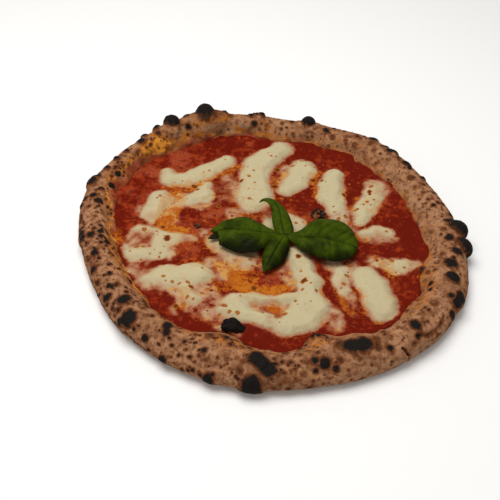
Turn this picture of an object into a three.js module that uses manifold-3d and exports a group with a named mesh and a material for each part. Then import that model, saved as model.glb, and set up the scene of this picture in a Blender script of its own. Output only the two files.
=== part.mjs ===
// A margherita pizza: one baked dough piece with a puffed, blistered rim, tomato sauce spread over
// its floor, melted pieces of mozzarella on the sauce and a sprig of four basil leaves on top.
// Millimetres, +Z up, the dough's flat underside on z = 0, the outline's box centred on the origin.
import * as THREE from "three";
import { mergeVertices } from "three/addons/utils/BufferGeometryUtils.js";
import Module from "manifold-3d";

// ---------------------------------------------------------------- driving dimensions

// Outline of the dough seen from above: a mean radius and the lobes that make it uneven.
const OUTER_RADIUS = 150.8;
const OUTLINE_LOBES = [
  // lobes in a full turn, how far they push out, heading in degrees
  [1, 5.3, 128],
  [2, 5.4, -50],
  [3, 1.1, 30],
  [4, 2.5, -31],
  [5, 0.9, -28],
  [6, 0.9, -8],
  [7, 0.9, 10],
];

// The rim: how wide it is, how far it rises, and where it is wider or taller.
const RIM_WIDTH = 28.5;
const RIM_FRONT_EXTRA = 4.0; // wider towards this heading, narrower opposite
const RIM_FRONT_HEADING = -70;
const RIM_SHOULDERS = [
  // heading, spread in degrees, how far the rim reaches inwards
  [55, 22, 3.5],
  [-106, 8, 12],
  [-72, 7, 8],
  [-20, 7, 6],
];
const RIM_HEIGHT = 19.3;
const RIM_SWELLS = [
  // heading, spread in degrees, extra height
  [122, 24, 6.2],
  [-58, 14, 1.2],
  [-88, 16, -1.0],
  [12, 12, 1.0],
  [-150, 16, -0.8],
  [168, 12, 0.8],
];
const FLOOR_THICKNESS = 4;
const UNDERCUT = 8; // how far the rim's foot stands in from its widest line
const WIDEST_LINE = 0.42; // height of the rim's widest line, as a share of the rim's height
const INNER_SLOPE = 1.8; // two gives a straight-sided inner slope at its foot, one an upright one

// Blisters raised on the rim: heading, place across the rim (0 inside foot, 1 outside foot),
// radius, rise.
const BLISTERS = [
  [116, 0.43, 22, 4.5],
  [128.5, 0.43, 12.5, 2],
  [79, 0.41, 11, 1.6],
  [0.5, 0.5, 14, 1.8],
  [164, 0.5, 7, 3],
  [97, 0.4, 6, 2.5],
  [54, 0.4, 5.5, 3],
  [45, 0.4, 6, 2.6],
  [37, 0.4, 5.5, 3.2],
  [-10.5, 0.4, 6, 2.4],
  [-16.5, 0.36, 6, 2.6],
  [-22, 0.4, 6, 2.6],
  [-28, 0.52, 8, 2.2],
  [-46, 0.38, 7, 1.8],
  [-64, 0.32, 13, 2.2],
  [-76, 0.4, 7, 2],
  [-93.5, 0.36, 8.5, 2.8],
  [-90, 0.45, 7.5, 2.6],
  [-94, 0.62, 9.5, 3.6],
  [-104.5, 0.63, 6.5, 2.4],
  [-118, 0.63, 5.5, 2],
  [-122, 0.32, 6.5, 1.6],
  [-132.5, 0.47, 9.5, 2.8],
  [-139, 0.4, 7, 1.8],
  [-172, 0.55, 8, 1.8],
];

// Tall blisters, each a round dome of its own: heading, place across the rim, radius, rise.
const DOMES = [
  [116, 0.44, 9, 12.6],
  [128.5, 0.43, 7.8, 9.5],
  [79, 0.41, 7, 7],
  [2, 0.5, 8.8, 7.2],
  [-5, 0.55, 8, 6],
];
const DOME_SEGMENTS = [12, 8];

// Burnt bubbles of the dough that stand up through the sauce, one inside it and one at the rim's foot.
const BUBBLES = [
  { x: 35, y: 27, z: 4.2, length: 6.2, width: 5.2, rise: 6.5 },
  { x: -25.5, y: -98.5, z: 4.2, length: 9.5, width: 6, rise: 10.3 },
];

const SAUCE_TOP = 6.5;
const SAUCE_WAVES = [
  // height, wavelength, heading in degrees, start in degrees
  [0.35, 92, 25, 40],
  [0.25, 61, 118, 200],
  [0.18, 47, 70, 90],
];

// The melted cheese: each piece is one or more strokes laid on the sauce. A stroke is a row of
// stations (x, y, half width); thickness is the piece's greatest.
const MOZZARELLA = [
  { thickness: 3.2, strokes: [[[-92, 75, 6.5], [-89, 65, 9], [-74, 66, 9], [-58, 78, 10], [-43, 93, 8.5]]] },
  { thickness: 2.4, strokes: [[[-94, 38, 11.5], [-100, 20, 9]]] },
  { thickness: 2.8, strokes: [[[-58, 60, 5], [-60, 46, 9.5], [-70, 39, 7.5]]] },
  {
    thickness: 3.4,
    strokes: [
      [[3, 115.3, 10.5], [-6, 104, 11.5], [-16, 90, 12.5], [-18.5, 76, 12], [-18, 62, 12], [-17.5, 46, 15.5],
        [-18, 38, 12.5]],
    ],
  },
  { thickness: 3.0, strokes: [[[23, 92, 9.5], [24, 84, 11.5], [17, 69, 10.5], [9, 56, 8]]] },
  { thickness: 3.2, strokes: [[[50, 80, 8.5], [47, 66, 10], [45.5, 50, 10.5], [50, 36, 8], [52, 22, 6.5]]] },
  { thickness: 2.6, strokes: [[[83, 66, 7.5], [80, 52, 8.5], [74, 37, 9], [68, 22, 6]]] },
  { thickness: 2.2, strokes: [[[70, 6, 4.5], [80, 7.5, 7.5], [90, 8, 5]]] },
  { thickness: 1.8, strokes: [[[-3, 12, 8], [8, 17, 9.5], [17, 14, 9]]] },
  {
    thickness: 2.2,
    strokes: [
      [[-104, -1, 5], [-92, -6, 7], [-76, -9, 6], [-64, -8, 4]],
      [[-88, -12, 8], [-88, -25, 8.5], [-104, -28, 8.5]],
    ],
  },
  {
    thickness: 3.0,
    strokes: [[[-90, -52, 8.5], [-75, -49, 11], [-54, -47, 10.5]], [[-64, -58, 6], [-55, -71, 6]]],
  },
  { thickness: 1.6, strokes: [[[-44, -12, 8], [-32, -20, 9], [-20, -32, 7]]] },
  {
    thickness: 3.6,
    strokes: [
      [[17, -20, 7.5], [22, -35, 9], [27, -50, 8.5], [28, -64, 9]],
      [[-28, -71, 6], [-12, -68, 5.5], [6, -69, 5.5], [22, -68, 8]],
      [[29, -75, 13.5], [22, -86, 13], [12, -93, 9]],
      [[-34, -83, 6], [-18, -85, 6.5], [-4, -90, 6.5], [8, -96, 7]],
      [[-28, -72, 7], [-22, -79, 8], [-20, -84, 7]],
    ],
  },
  { thickness: 1.8, strokes: [[[50, -36, 5.5], [49, -48, 6.5], [52, -57, 4.5]]] },
  { thickness: 3.4, strokes: [[[69, -40, 8], [74, -50, 10.5], [77, -66, 11.3], [78, -75.5, 9]]] },
  { thickness: 1.8, strokes: [[[92, -28, 5.5], [100, -28, 5], [107, -26.5, 3]]] },
];
const CHEESE_SHOULDER = 6; // how far in from its edge a piece reaches its full thickness
const CHEESE_BLEND = 3; // how softly strokes run into each other
const CHEESE_EDGE = 0.5; // least thickness of a piece away from its edge
const CHEESE_GRID = 5.45;
const CHEESE_CUT = [0.25, 0.85]; // least and most of a grid side that the outline leaves, as a share

// The basil: leaves spread from a short stem. A leaf is a row of stations from its base to its tip:
// x, y and height of the midrib, then how far the blade reaches to the left and how far its edge
// drops there, and the same to the right.
const STEM = { x: 7.5, y: -8.5, foot: 11.5, top: 15.5, radius: 1.9, topRadius: 1.5 };
const LEAF_THICKNESS = 0.8;
const LEAF_LEAST_REACH = 0.5;
const LEAF_DROP_POWER = 2.3; // how late the blade bends down towards its edge
const LEAF_PILLOW = 0.36; // how far each half of the blade bulges up, as a share of its reach
const LEAF_STEPS = { along: 12, across: 8 };
const BASIL = [
  [
    [6.4, -8.7, 15.4, 0.6, 0, 0.6, 0],
    [-2, -9, 16.2, 7, 1.5, 6, 1],
    [-11, -9.3, 16.8, 16, 4, 12.5, 1.5],
    [-20, -9, 17, 18.8, 5, 17, 1.5],
    [-29, -7.6, 16.5, 17.5, 5, 17.5, 1.5],
    [-37, -6.4, 15.2, 13.8, 4, 15.5, 2],
    [-43.5, -6.6, 13.6, 9.2, 2.5, 12.6, 2.4],
    [-48, -9.2, 12, 5, 1, 8.5, 1.6],
    [-51.4, -12, 10.8, 2.6, 0.4, 3.6, 0.6],
    [-54, -13.4, 10, 0.3, 0, 0.3, 0],
  ],
  [
    [8.4, -9.2, 15.4, 0.6, 0, 0.6, 0],
    [17, -12, 16.3, 8.5, 1, 6, 2],
    [25, -13.6, 17, 17.5, 0, 12, 3.5],
    [34, -14, 17, 22, -0.8, 16, 4],
    [43, -15, 16.6, 24.8, -0.2, 17, 4.3],
    [51, -16.5, 15.8, 22.8, 0.5, 15.5, 4],
    [57, -18, 14.8, 17.5, 1.5, 12.5, 3],
    [61.2, -19, 13.8, 10.5, 1.5, 8.5, 1.5],
    [63.4, -19.5, 13, 0.3, 0, 0.3, 0],
  ],
  [
    [7.5, -8.5, 15.6, 2.2, 0.4, 6, 1.6],
    [6.5, -3.5, 17, 6, 1.5, 8.8, 2.6],
    [5, 2.5, 18.6, 6.5, 1.5, 8.8, 2],
    [4, 9, 20.3, 6.3, 1.2, 7.2, 2],
    [2.4, 14.5, 21.8, 5.6, 1.2, 5.4, 1.6],
    [-0.6, 19, 22.8, 4.2, 1, 3.8, 1.2],
    [-4.5, 22, 23, 2.8, 0.8, 2.8, 0.8],
    [-9, 23.2, 22.2, 1.5, 0.4, 1.6, 0.4],
    [-12.5, 22, 20.6, 0.3, 0, 0.3, 0],
  ],
  [
    [7.8, -9.2, 15.4, 1.5, 0, 1.5, 0],
    [6.6, -15, 16.4, 5.5, 2.5, 7.4, 1.5],
    [4.8, -20.5, 16.8, 7.6, 4.5, 9.4, 2.2],
    [2, -26.5, 16.2, 8.4, 5.4, 9.2, 2.2],
    [-0.8, -32.5, 14.6, 8, 4.6, 7.6, 1.8],
    [-3.2, -38, 12.8, 5.4, 2.6, 5.2, 1.2],
    [-5, -42.5, 11.3, 2.6, 0.8, 2.6, 0.6],
    [-6.4, -45.5, 10.4, 0.3, 0, 0.3, 0],
  ],
];

const GAP = 0.35; // clearance kept between neighbouring pieces
const SLOPE_GAP = 0.55; // level distance that keeps the clearance on the rim's slope
const BOX_CENTRE = [-3.4, 0.8]; // middle of the outline's box, moved to the origin at the end

// How finely the surfaces are divided: sectors of a full turn, places across the rim and shares
// of the sauce's radius.
const SECTORS = 168;
const SAUCE_SECTORS = 92;
const SAUCE_LINE = 0.055; // place across the rim that the sauce's edge lies against
const RIM_STEPS = [
  0, SAUCE_LINE, 0.12, 0.18, 0.24, 0.3, 0.36, 0.42, 0.48, 0.54, 0.6, 0.66, 0.74, 0.82, 0.91, 1,
];
const SAUCE_RINGS = [0.16, 0.32, 0.48, 0.64, 0.78, 0.9];

// ---------------------------------------------------------------- helpers

const radians = THREE.MathUtils.degToRad;
const between = THREE.MathUtils.lerp;

function turnsApart(a, b) {
  return THREE.MathUtils.euclideanModulo(a - b + 180, 360) - 180;
}

function bell(distance, spread) {
  return Math.exp(-((distance / spread) ** 2));
}

// A closed mesh from a list of points and a list of faces (three or four corners each).
function solidFrom(points, faces) {
  const index = [];
  for (const [a, b, c, d] of faces) {
    index.push(a, b, c);
    if (d !== undefined) index.push(a, c, d);
  }
  const geometry = new THREE.BufferGeometry();
  geometry.setAttribute("position", new THREE.Float32BufferAttribute(points.flat(), 3));
  geometry.setIndex(index);
  return geometry;
}

const wasm = await Module();
wasm.setup();

function toManifold(geometry) {
  const plain = geometry.clone();
  plain.deleteAttribute("normal");
  plain.deleteAttribute("uv");
  const merged = mergeVertices(plain, 1e-4);
  return new wasm.Manifold(
    new wasm.Mesh({
      numProp: 3,
      vertProperties: new Float32Array(merged.attributes.position.array),
      triVerts: new Uint32Array(merged.index.array),
    }),
  );
}

function fromManifold(manifold) {
  const mesh = manifold.getMesh();
  const geometry = new THREE.BufferGeometry();
  geometry.setAttribute("position", new THREE.BufferAttribute(new Float32Array(mesh.vertProperties), 3));
  geometry.setIndex(new THREE.BufferAttribute(new Uint32Array(mesh.triVerts), 1));
  return geometry;
}

// ---------------------------------------------------------------- dough

function outerRadius(heading) {
  let radius = OUTER_RADIUS;
  for (const [lobes, push, towards] of OUTLINE_LOBES) {
    radius += push * Math.cos(radians(lobes * (heading - towards)));
  }
  return radius;
}

function rimWidth(heading) {
  let width = RIM_WIDTH + RIM_FRONT_EXTRA * Math.cos(radians(heading - RIM_FRONT_HEADING));
  for (const [towards, spread, reach] of RIM_SHOULDERS) {
    width += reach * bell(turnsApart(heading, towards), spread);
  }
  return width;
}

function rimHeight(heading) {
  let height = RIM_HEIGHT;
  for (const [towards, spread, extra] of RIM_SWELLS) {
    height += extra * bell(turnsApart(heading, towards), spread);
  }
  return height;
}

// A point on the rim before its blisters rise: across runs from the inside foot over the crest,
// at a third, to the outside foot.
function smoothRimPoint(heading, across) {
  const outer = outerRadius(heading);
  const half = rimWidth(heading) / 2;
  const height = rimHeight(heading);
  const widest = WIDEST_LINE * height;
  const angle = radians(180 - 270 * across); // from the inside foot, over the crest, to the outside foot
  let radius = outer - half + half * Math.cos(angle);
  let z = widest + (height - widest) * Math.sin(angle);
  if (across < 1 / 3) {
    z = FLOOR_THICKNESS + (height - FLOOR_THICKNESS) * Math.sin(angle) ** INNER_SLOPE;
  } else if (across > 2 / 3) {
    radius = outer - UNDERCUT * (1 - Math.cos(angle));
    z = Math.max(0, widest * (1 + Math.sin(angle)));
  }
  return new THREE.Vector3(radius * Math.cos(radians(heading)), radius * Math.sin(radians(heading)), z);
}

const blisterCentres = BLISTERS.map(([heading, across, radius, rise]) => ({
  centre: smoothRimPoint(heading, across),
  radius,
  rise,
}));

// The outward direction at a point of the rim, from its place across the section.
function rimNormal(heading, across) {
  const step = 0.01;
  const along = smoothRimPoint(heading + 0.2, across).sub(smoothRimPoint(heading - 0.2, across));
  const over = smoothRimPoint(heading, Math.min(1, across + step)).sub(
    smoothRimPoint(heading, Math.max(0, across - step)),
  );
  return over.cross(along).normalize();
}

function rimPoint(heading, across) {
  const point = smoothRimPoint(heading, across);
  let lift = 0;
  for (const { centre, radius, rise } of blisterCentres) {
    const share = point.distanceTo(centre) / radius;
    if (share < 1) lift += rise * Math.sqrt(1 - share * share);
  }
  if (across < 1) point.addScaledVector(rimNormal(heading, across), lift);
  return point;
}

function makeCrust() {
  const points = [
    [0, 0, FLOOR_THICKNESS],
    [0, 0, 0],
  ];
  const faces = [];
  const ringStart = [];
  for (let sector = 0; sector < SECTORS; sector += 1) {
    const heading = (360 / SECTORS) * sector;
    ringStart.push(points.length);
    for (const across of RIM_STEPS) points.push(rimPoint(heading, across).toArray());
  }
  const steps = RIM_STEPS.length;
  for (let sector = 0; sector < SECTORS; sector += 1) {
    const here = ringStart[sector];
    const next = ringStart[(sector + 1) % SECTORS];
    faces.push([0, here, next]);
    for (let k = 0; k < steps - 1; k += 1) faces.push([here + k, here + k + 1, next + k + 1, next + k]);
    faces.push([1, next + steps - 1, here + steps - 1]);
  }
  return solidFrom(points, faces);
}

// A dome is an egg shape half sunk in the rim, upright on its surface.
function makeDome([heading, across, radius, rise]) {
  const shape = new THREE.SphereGeometry(1, ...DOME_SEGMENTS);
  shape.rotateX(Math.PI / 2);
  shape.scale(radius, radius, rise);
  const upright = new THREE.Quaternion().setFromUnitVectors(new THREE.Vector3(0, 0, 1), rimNormal(heading, across));
  shape.applyQuaternion(upright);
  shape.translate(...smoothRimPoint(heading, across).toArray());
  return toManifold(shape);
}

// An upright egg shape round a bubble, larger all round by a margin.
function bubbleShape({ x, y, z, length, width, rise }, margin) {
  const shape = new THREE.SphereGeometry(1, 14, 9);
  shape.rotateX(Math.PI / 2);
  shape.scale(length + margin, width + margin, rise + margin);
  shape.translate(x, y, z);
  return toManifold(shape);
}

// A bubble without the part that would come out under the dough.
function standingBubble(bubble) {
  const side = 40;
  const table = new THREE.BoxGeometry(side, side, side);
  table.translate(bubble.x, bubble.y, (FLOOR_THICKNESS - side) / 2);
  return bubbleShape(bubble, 0).subtract(toManifold(table));
}

// ---------------------------------------------------------------- sauce

function sauceHeight(x, y) {
  let height = SAUCE_TOP;
  for (const [rise, wavelength, towards, start] of SAUCE_WAVES) {
    const along = x * Math.cos(radians(towards)) + y * Math.sin(radians(towards));
    height += rise * Math.sin((2 * Math.PI * along) / wavelength + radians(start));
  }
  return height;
}

function makeSauce() {
  const points = [
    [0, 0, sauceHeight(0, 0)],
    [0, 0, FLOOR_THICKNESS + GAP],
  ];
  const faces = [];
  const ringStart = [];
  for (let sector = 0; sector < SAUCE_SECTORS; sector += 1) {
    const heading = (360 / SAUCE_SECTORS) * sector;
    const cos = Math.cos(radians(heading));
    const sin = Math.sin(radians(heading));
    const foot = rimPoint(heading, 0);
    const slope = rimPoint(heading, SAUCE_LINE);
    const footRadius = Math.hypot(foot.x, foot.y) - SLOPE_GAP;
    const topRadius = Math.hypot(slope.x, slope.y) - SLOPE_GAP;
    const topHeight = Math.min(sauceHeight(topRadius * cos, topRadius * sin), slope.z);
    ringStart.push(points.length);
    for (const share of SAUCE_RINGS) {
      const radius = share * footRadius;
      points.push([radius * cos, radius * sin, sauceHeight(radius * cos, radius * sin)]);
    }
    const share = (topHeight - foot.z) / (slope.z - foot.z);
    const edge = between(footRadius, topRadius, share);
    points.push([edge * cos, edge * sin, topHeight]);
    points.push([footRadius * cos, footRadius * sin, FLOOR_THICKNESS + GAP]);
  }
  const steps = SAUCE_RINGS.length + 2;
  for (let sector = 0; sector < SAUCE_SECTORS; sector += 1) {
    const here = ringStart[sector];
    const next = ringStart[(sector + 1) % SAUCE_SECTORS];
    faces.push([0, here, next]);
    for (let k = 0; k < steps - 1; k += 1) faces.push([here + k, here + k + 1, next + k + 1, next + k]);
    faces.push([1, next + steps - 1, here + steps - 1]);
  }
  return solidFrom(points, faces);
}

// ---------------------------------------------------------------- mozzarella

// The larger of two depths, blended where they are nearly equal, as melted cheese flows together.
function blendDepths(a, b) {
  const share = Math.max(0, 1 - Math.abs(a - b) / CHEESE_BLEND);
  return Math.max(a, b) + (share * share * CHEESE_BLEND) / 4;
}

// How far inside a stroke a point lies: positive inside, nought on its edge.
function insideStroke(stations, x, y) {
  let best = -1e3;
  for (let k = 0; k < stations.length - 1; k += 1) {
    const [ax, ay, aw] = stations[k];
    const [bx, by, bw] = stations[k + 1];
    const length2 = (bx - ax) ** 2 + (by - ay) ** 2;
    const share = THREE.MathUtils.clamp(((x - ax) * (bx - ax) + (y - ay) * (by - ay)) / length2, 0, 1);
    const away = Math.hypot(x - between(ax, bx, share), y - between(ay, by, share));
    best = blendDepths(best, between(aw, bw, share) - away);
  }
  return best;
}

function insidePiece(piece, x, y) {
  return piece.strokes.map((stations) => insideStroke(stations, x, y)).reduce(blendDepths);
}

function pieceRise(piece, inside) {
  const share = THREE.MathUtils.clamp(inside / CHEESE_SHOULDER, 0, 1);
  return piece.thickness * Math.sqrt(1 - (1 - share) ** 2);
}

// The piece is cut out of a square grid. Along its outline, a point of the edge stands on each side
// of a square that crosses it, so that every square of the piece is a closed ring of corners.
function makeMozzarella(piece) {
  const stations = piece.strokes.flat();
  const reach = (axis, sign) => sign * Math.max(...stations.map((s) => sign * s[axis] + s[2]));
  const [left, front] = [reach(0, -1), reach(1, -1)];
  const columns = Math.ceil((reach(0, 1) - left) / CHEESE_GRID) + 3;
  const rows = Math.ceil((reach(1, 1) - front) / CHEESE_GRID) + 3;
  const placeOf = ([i, j]) => [left + (i - 1.5) * CHEESE_GRID, front + (j - 1.5) * CHEESE_GRID];
  const depthOf = (knot) => insidePiece(piece, ...placeOf(knot));
  const points = [];
  const seen = new Map();

  // The upper and lower point at a knot of the grid inside the piece.
  function innerPoints(knot) {
    const key = knot.join();
    if (!seen.has(key)) {
      const [x, y] = placeOf(knot);
      const seat = sauceHeight(x, y) + GAP;
      const rise = Math.max(CHEESE_EDGE, pieceRise(piece, depthOf(knot)));
      points.push([x, y, seat + rise], [x, y, seat]);
      seen.set(key, [points.length - 2, points.length - 1]);
    }
    return seen.get(key);
  }

  // The one point, at once upper and lower, where the edge crosses between two knots.
  function edgePoints(a, b) {
    const [inner, outer] = depthOf(a) > 0 ? [a, b] : [b, a];
    const key = `${inner.join()} ${outer.join()}`;
    if (!seen.has(key)) {
      const crossing = depthOf(inner) / (depthOf(inner) - depthOf(outer));
      const share = THREE.MathUtils.clamp(crossing, ...CHEESE_CUT);
      const [innerPlace, outerPlace] = [placeOf(inner), placeOf(outer)];
      const x = between(innerPlace[0], outerPlace[0], share);
      const y = between(innerPlace[1], outerPlace[1], share);
      points.push([x, y, sauceHeight(x, y) + GAP + CHEESE_EDGE / 4]);
      seen.set(key, [points.length - 1, points.length - 1]);
    }
    return seen.get(key);
  }

  const faces = [];
  for (let i = 0; i < columns; i += 1) {
    for (let j = 0; j < rows; j += 1) {
      const square = [[i, j], [i + 1, j], [i + 1, j + 1], [i, j + 1]];
      const ring = [];
      square.forEach((knot, k) => {
        const next = square[(k + 1) % square.length];
        if (depthOf(knot) > 0) ring.push(innerPoints(knot));
        if (depthOf(knot) > 0 !== depthOf(next) > 0) ring.push(edgePoints(knot, next));
      });
      for (let k = 2; k < ring.length; k += 1) {
        faces.push([ring[0][0], ring[k - 1][0], ring[k][0]]);
        faces.push([ring[0][1], ring[k][1], ring[k - 1][1]]);
      }
    }
  }
  return solidFrom(points, faces);
}

// ---------------------------------------------------------------- basil

// The highest point of the cheese or sauce below a place.
function toppingHeight(x, y) {
  let height = sauceHeight(x, y);
  for (const piece of MOZZARELLA) {
    const inside = insidePiece(piece, x, y);
    if (inside > 0) height = Math.max(height, sauceHeight(x, y) + GAP + pieceRise(piece, inside));
  }
  return height;
}

// A row of numbers on the smooth curve through a leaf's stations, at a share of its length.
function leafRow(stations, share) {
  const last = stations.length - 1;
  const start = Math.min(Math.floor(share * last), last - 1);
  const part = share * last - start;
  const [before, here, next, after] = [-1, 0, 1, 2].map(
    (step) => stations[THREE.MathUtils.clamp(start + step, 0, last)],
  );
  return here.map(
    (value, k) =>
      value +
      0.5 * part * (next[k] - before[k]) +
      part ** 2 * (before[k] - 2.5 * value + 2 * next[k] - 0.5 * after[k]) +
      0.5 * part ** 3 * (3 * value - before[k] - 3 * next[k] + after[k]),
  );
}

function makeLeaf(stations) {
  const lengthSteps = LEAF_STEPS.along;
  const widthSteps = LEAF_STEPS.across;
  const nudge = 0.01;
  const middle = [];
  for (let i = 0; i <= lengthSteps; i += 1) {
    const share = i / lengthSteps;
    const [x, y, z, left, leftDrop, right, rightDrop] = leafRow(stations, share);
    const [backX, backY] = leafRow(stations, Math.max(0, share - nudge));
    const [aheadX, aheadY] = leafRow(stations, Math.min(1, share + nudge));
    const along = new THREE.Vector2(aheadX - backX, aheadY - backY).normalize();
    for (let j = 0; j <= widthSteps; j += 1) {
      const across = (2 * j) / widthSteps - 1;
      const half = Math.abs(across);
      const reach = Math.max(LEAF_LEAST_REACH, across > 0 ? left : right);
      const drop = across > 0 ? leftDrop : rightDrop;
      const px = x - along.y * reach * across;
      const py = y + along.x * reach * across;
      const pz = z - drop * half ** LEAF_DROP_POWER + LEAF_PILLOW * reach * half * (1 - half);
      middle.push([px, py, Math.max(pz, toppingHeight(px, py) + GAP + LEAF_THICKNESS)]);
    }
  }
  const count = middle.length;
  const skin = LEAF_THICKNESS / 2;
  const points = [
    ...middle.map(([x, y, z]) => [x, y, z + skin]),
    ...middle.map(([x, y, z]) => [x, y, z - skin]),
  ];
  const row = widthSteps + 1;
  const faces = [];
  for (let i = 0; i < lengthSteps; i += 1) {
    for (let j = 0; j < widthSteps; j += 1) {
      const a = i * row + j;
      faces.push([a, a + row, a + row + 1, a + 1]);
      faces.push([count + a, count + a + 1, count + a + row + 1, count + a + row]);
    }
    const left = i * row;
    const right = left + widthSteps;
    faces.push([left, count + left, count + left + row, left + row]);
    faces.push([right, right + row, count + right + row, count + right]);
  }
  for (let j = 0; j < widthSteps; j += 1) {
    const last = lengthSteps * row + j;
    faces.push([j, j + 1, count + j + 1, count + j]);
    faces.push([last, count + last, count + last + 1, last + 1]);
  }
  return solidFrom(points, faces);
}

function makeBasil() {
  const height = STEM.top - STEM.foot;
  const stem = new THREE.CylinderGeometry(STEM.topRadius, STEM.radius, height, 8);
  stem.rotateX(Math.PI / 2);
  stem.translate(STEM.x, STEM.y, STEM.foot + height / 2);
  let sprig = toManifold(stem);
  for (const leaf of BASIL) sprig = sprig.add(toManifold(makeLeaf(leaf)));
  return fromManifold(sprig);
}

// ---------------------------------------------------------------- materials and assembly

const doughFinish = () => new THREE.MeshStandardMaterial({ color: 0xb08a66, roughness: 0.85, metalness: 0 });
const sauceFinish = () => new THREE.MeshStandardMaterial({ color: 0x8f2413, roughness: 0.45, metalness: 0 });
const cheeseFinish = () => new THREE.MeshStandardMaterial({ color: 0xe2d7ae, roughness: 0.5, metalness: 0 });
const basilFinish = () => new THREE.MeshStandardMaterial({ color: 0x3f5a10, roughness: 0.4, metalness: 0 });

const pizza = new THREE.Group();

function place(name, geometry, material) {
  const mesh = new THREE.Mesh(geometry, material);
  mesh.name = name;
  pizza.add(mesh);
}

let crust = toManifold(makeCrust());
for (const dome of DOMES) crust = crust.add(makeDome(dome));
let sauce = toManifold(makeSauce());
for (const bubble of BUBBLES) {
  crust = crust.add(standingBubble(bubble));
  sauce = sauce.subtract(bubbleShape(bubble, GAP));
}
place("crust", fromManifold(crust), doughFinish());
place("sauce", fromManifold(sauce), sauceFinish());
MOZZARELLA.forEach((piece, order) => {
  const number = String(order + 1).padStart(2, "0");
  place(`mozzarella_${number}`, makeMozzarella(piece), cheeseFinish());
});
place("basil_sprig", makeBasil(), basilFinish());

pizza.position.set(-BOX_CENTRE[0], -BOX_CENTRE[1], 0);

export default pizza;
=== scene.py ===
"""Looks of a margherita pizza: baked dough, tomato sauce, melted mozzarella and basil.

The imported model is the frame. Each operator makes one piece, or a group of like pieces, that
stands for nodes of that model, and the stage operator adds the floor, lights and camera.
"""
import math

import bmesh
import bpy
import numpy as np
from bpy.props import FloatProperty, FloatVectorProperty, IntProperty, PointerProperty
from mathutils import Matrix, Vector


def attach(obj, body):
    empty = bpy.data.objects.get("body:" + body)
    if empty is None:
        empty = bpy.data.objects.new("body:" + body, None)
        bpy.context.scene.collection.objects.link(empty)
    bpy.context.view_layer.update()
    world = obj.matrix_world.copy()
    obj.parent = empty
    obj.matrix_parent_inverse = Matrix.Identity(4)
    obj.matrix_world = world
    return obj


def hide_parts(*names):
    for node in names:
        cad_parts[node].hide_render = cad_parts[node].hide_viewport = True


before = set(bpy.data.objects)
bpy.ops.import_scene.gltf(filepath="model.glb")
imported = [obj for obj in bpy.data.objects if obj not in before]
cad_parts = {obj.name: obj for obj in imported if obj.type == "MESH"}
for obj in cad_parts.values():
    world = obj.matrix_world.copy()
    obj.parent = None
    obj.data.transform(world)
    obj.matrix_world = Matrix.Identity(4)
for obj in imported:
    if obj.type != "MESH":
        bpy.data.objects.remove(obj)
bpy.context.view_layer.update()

bl_info = {
    "name": "Margherita Pizza",
    "version": (1, 0, 0),
    "blender": (4, 5, 0),
    "location": "View3D > Sidebar > Pizza",
    "description": "Makes the finished look of a wood-fired margherita pizza",
    "category": "Mesh",
}

MM = 0.001

# ---------------------------------------------------------------- layout, in millimetres
# Places are given from the middle of the dough's mean circle. Headings are in degrees.
LAYOUT_SHIFT = (3.4, -0.8)

OUTER_RADIUS = 150.8  # of the dough, on average
OUTLINE_LOBES = (  # lobes in a turn, push, heading
    (1, 5.3, 128), (2, 5.4, -50), (3, 1.1, 30), (4, 2.5, -31), (5, 0.9, -28), (6, 0.9, -8), (7, 0.9, 10),
)
RIM_WIDTH = 28.5
RIM_FRONT = (4.0, -70)  # extra width, heading
RIM_SHOULDERS = (  # heading, spread, reach inwards
    (55, 22, 3.5), (-106, 8, 12), (-72, 7, 8), (-20, 7, 6),
)
RIM_HEIGHT = 19.3
RIM_SWELLS = (  # heading, spread, extra height
    (122, 24, 6.2), (-58, 14, 1.2), (-88, 16, -1.0), (12, 12, 1.0), (-150, 16, -0.8), (168, 12, 0.8),
)
FLOOR_THICKNESS = 4.0
UNDERCUT = 8.0  # how far the foot of the outer side curves in
WIDEST_LINE = 0.42  # where the rim is widest, as a share of its height
INNER_SLOPE = 1.8  # how steep the inner slope is at its crest: above 1, its foot runs out flat

BLISTERS = (  # heading, place across the rim, radius, rise
    (116, 0.43, 22, 4.5), (128.5, 0.43, 12.5, 2), (79, 0.41, 11, 1.6), (0.5, 0.5, 14, 1.8),
    (164, 0.5, 7, 3), (97, 0.4, 6, 2.5), (54, 0.4, 5.5, 3), (45, 0.4, 6, 2.6), (37, 0.4, 5.5, 3.2),
    (-10.5, 0.4, 6, 2.4), (-16.5, 0.36, 6, 2.6), (-22, 0.4, 6, 2.6), (-28, 0.52, 8, 2.2),
    (-46, 0.38, 7, 1.8), (-64, 0.32, 13, 2.2), (-76, 0.4, 7, 2), (-93.5, 0.36, 8.5, 2.8),
    (-90, 0.45, 7.5, 2.6), (-94, 0.62, 9.5, 3.6), (-104.5, 0.63, 6.5, 2.4), (-118, 0.63, 5.5, 2),
    (-122, 0.32, 6.5, 1.6), (-132.5, 0.47, 9.5, 2.8), (-139, 0.4, 7, 1.8), (-172, 0.55, 8, 1.8),
)

DOMES = (  # tall blisters, each a round dome: heading, place across the rim, radius, rise
    (115.4, 0.44, 8.4, 10.6), (127.4, 0.43, 7.2, 8.2), (79, 0.41, 6.4, 6.4), (2, 0.52, 7.8, 7.2),
    (-5, 0.56, 7.4, 6),
)

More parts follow.
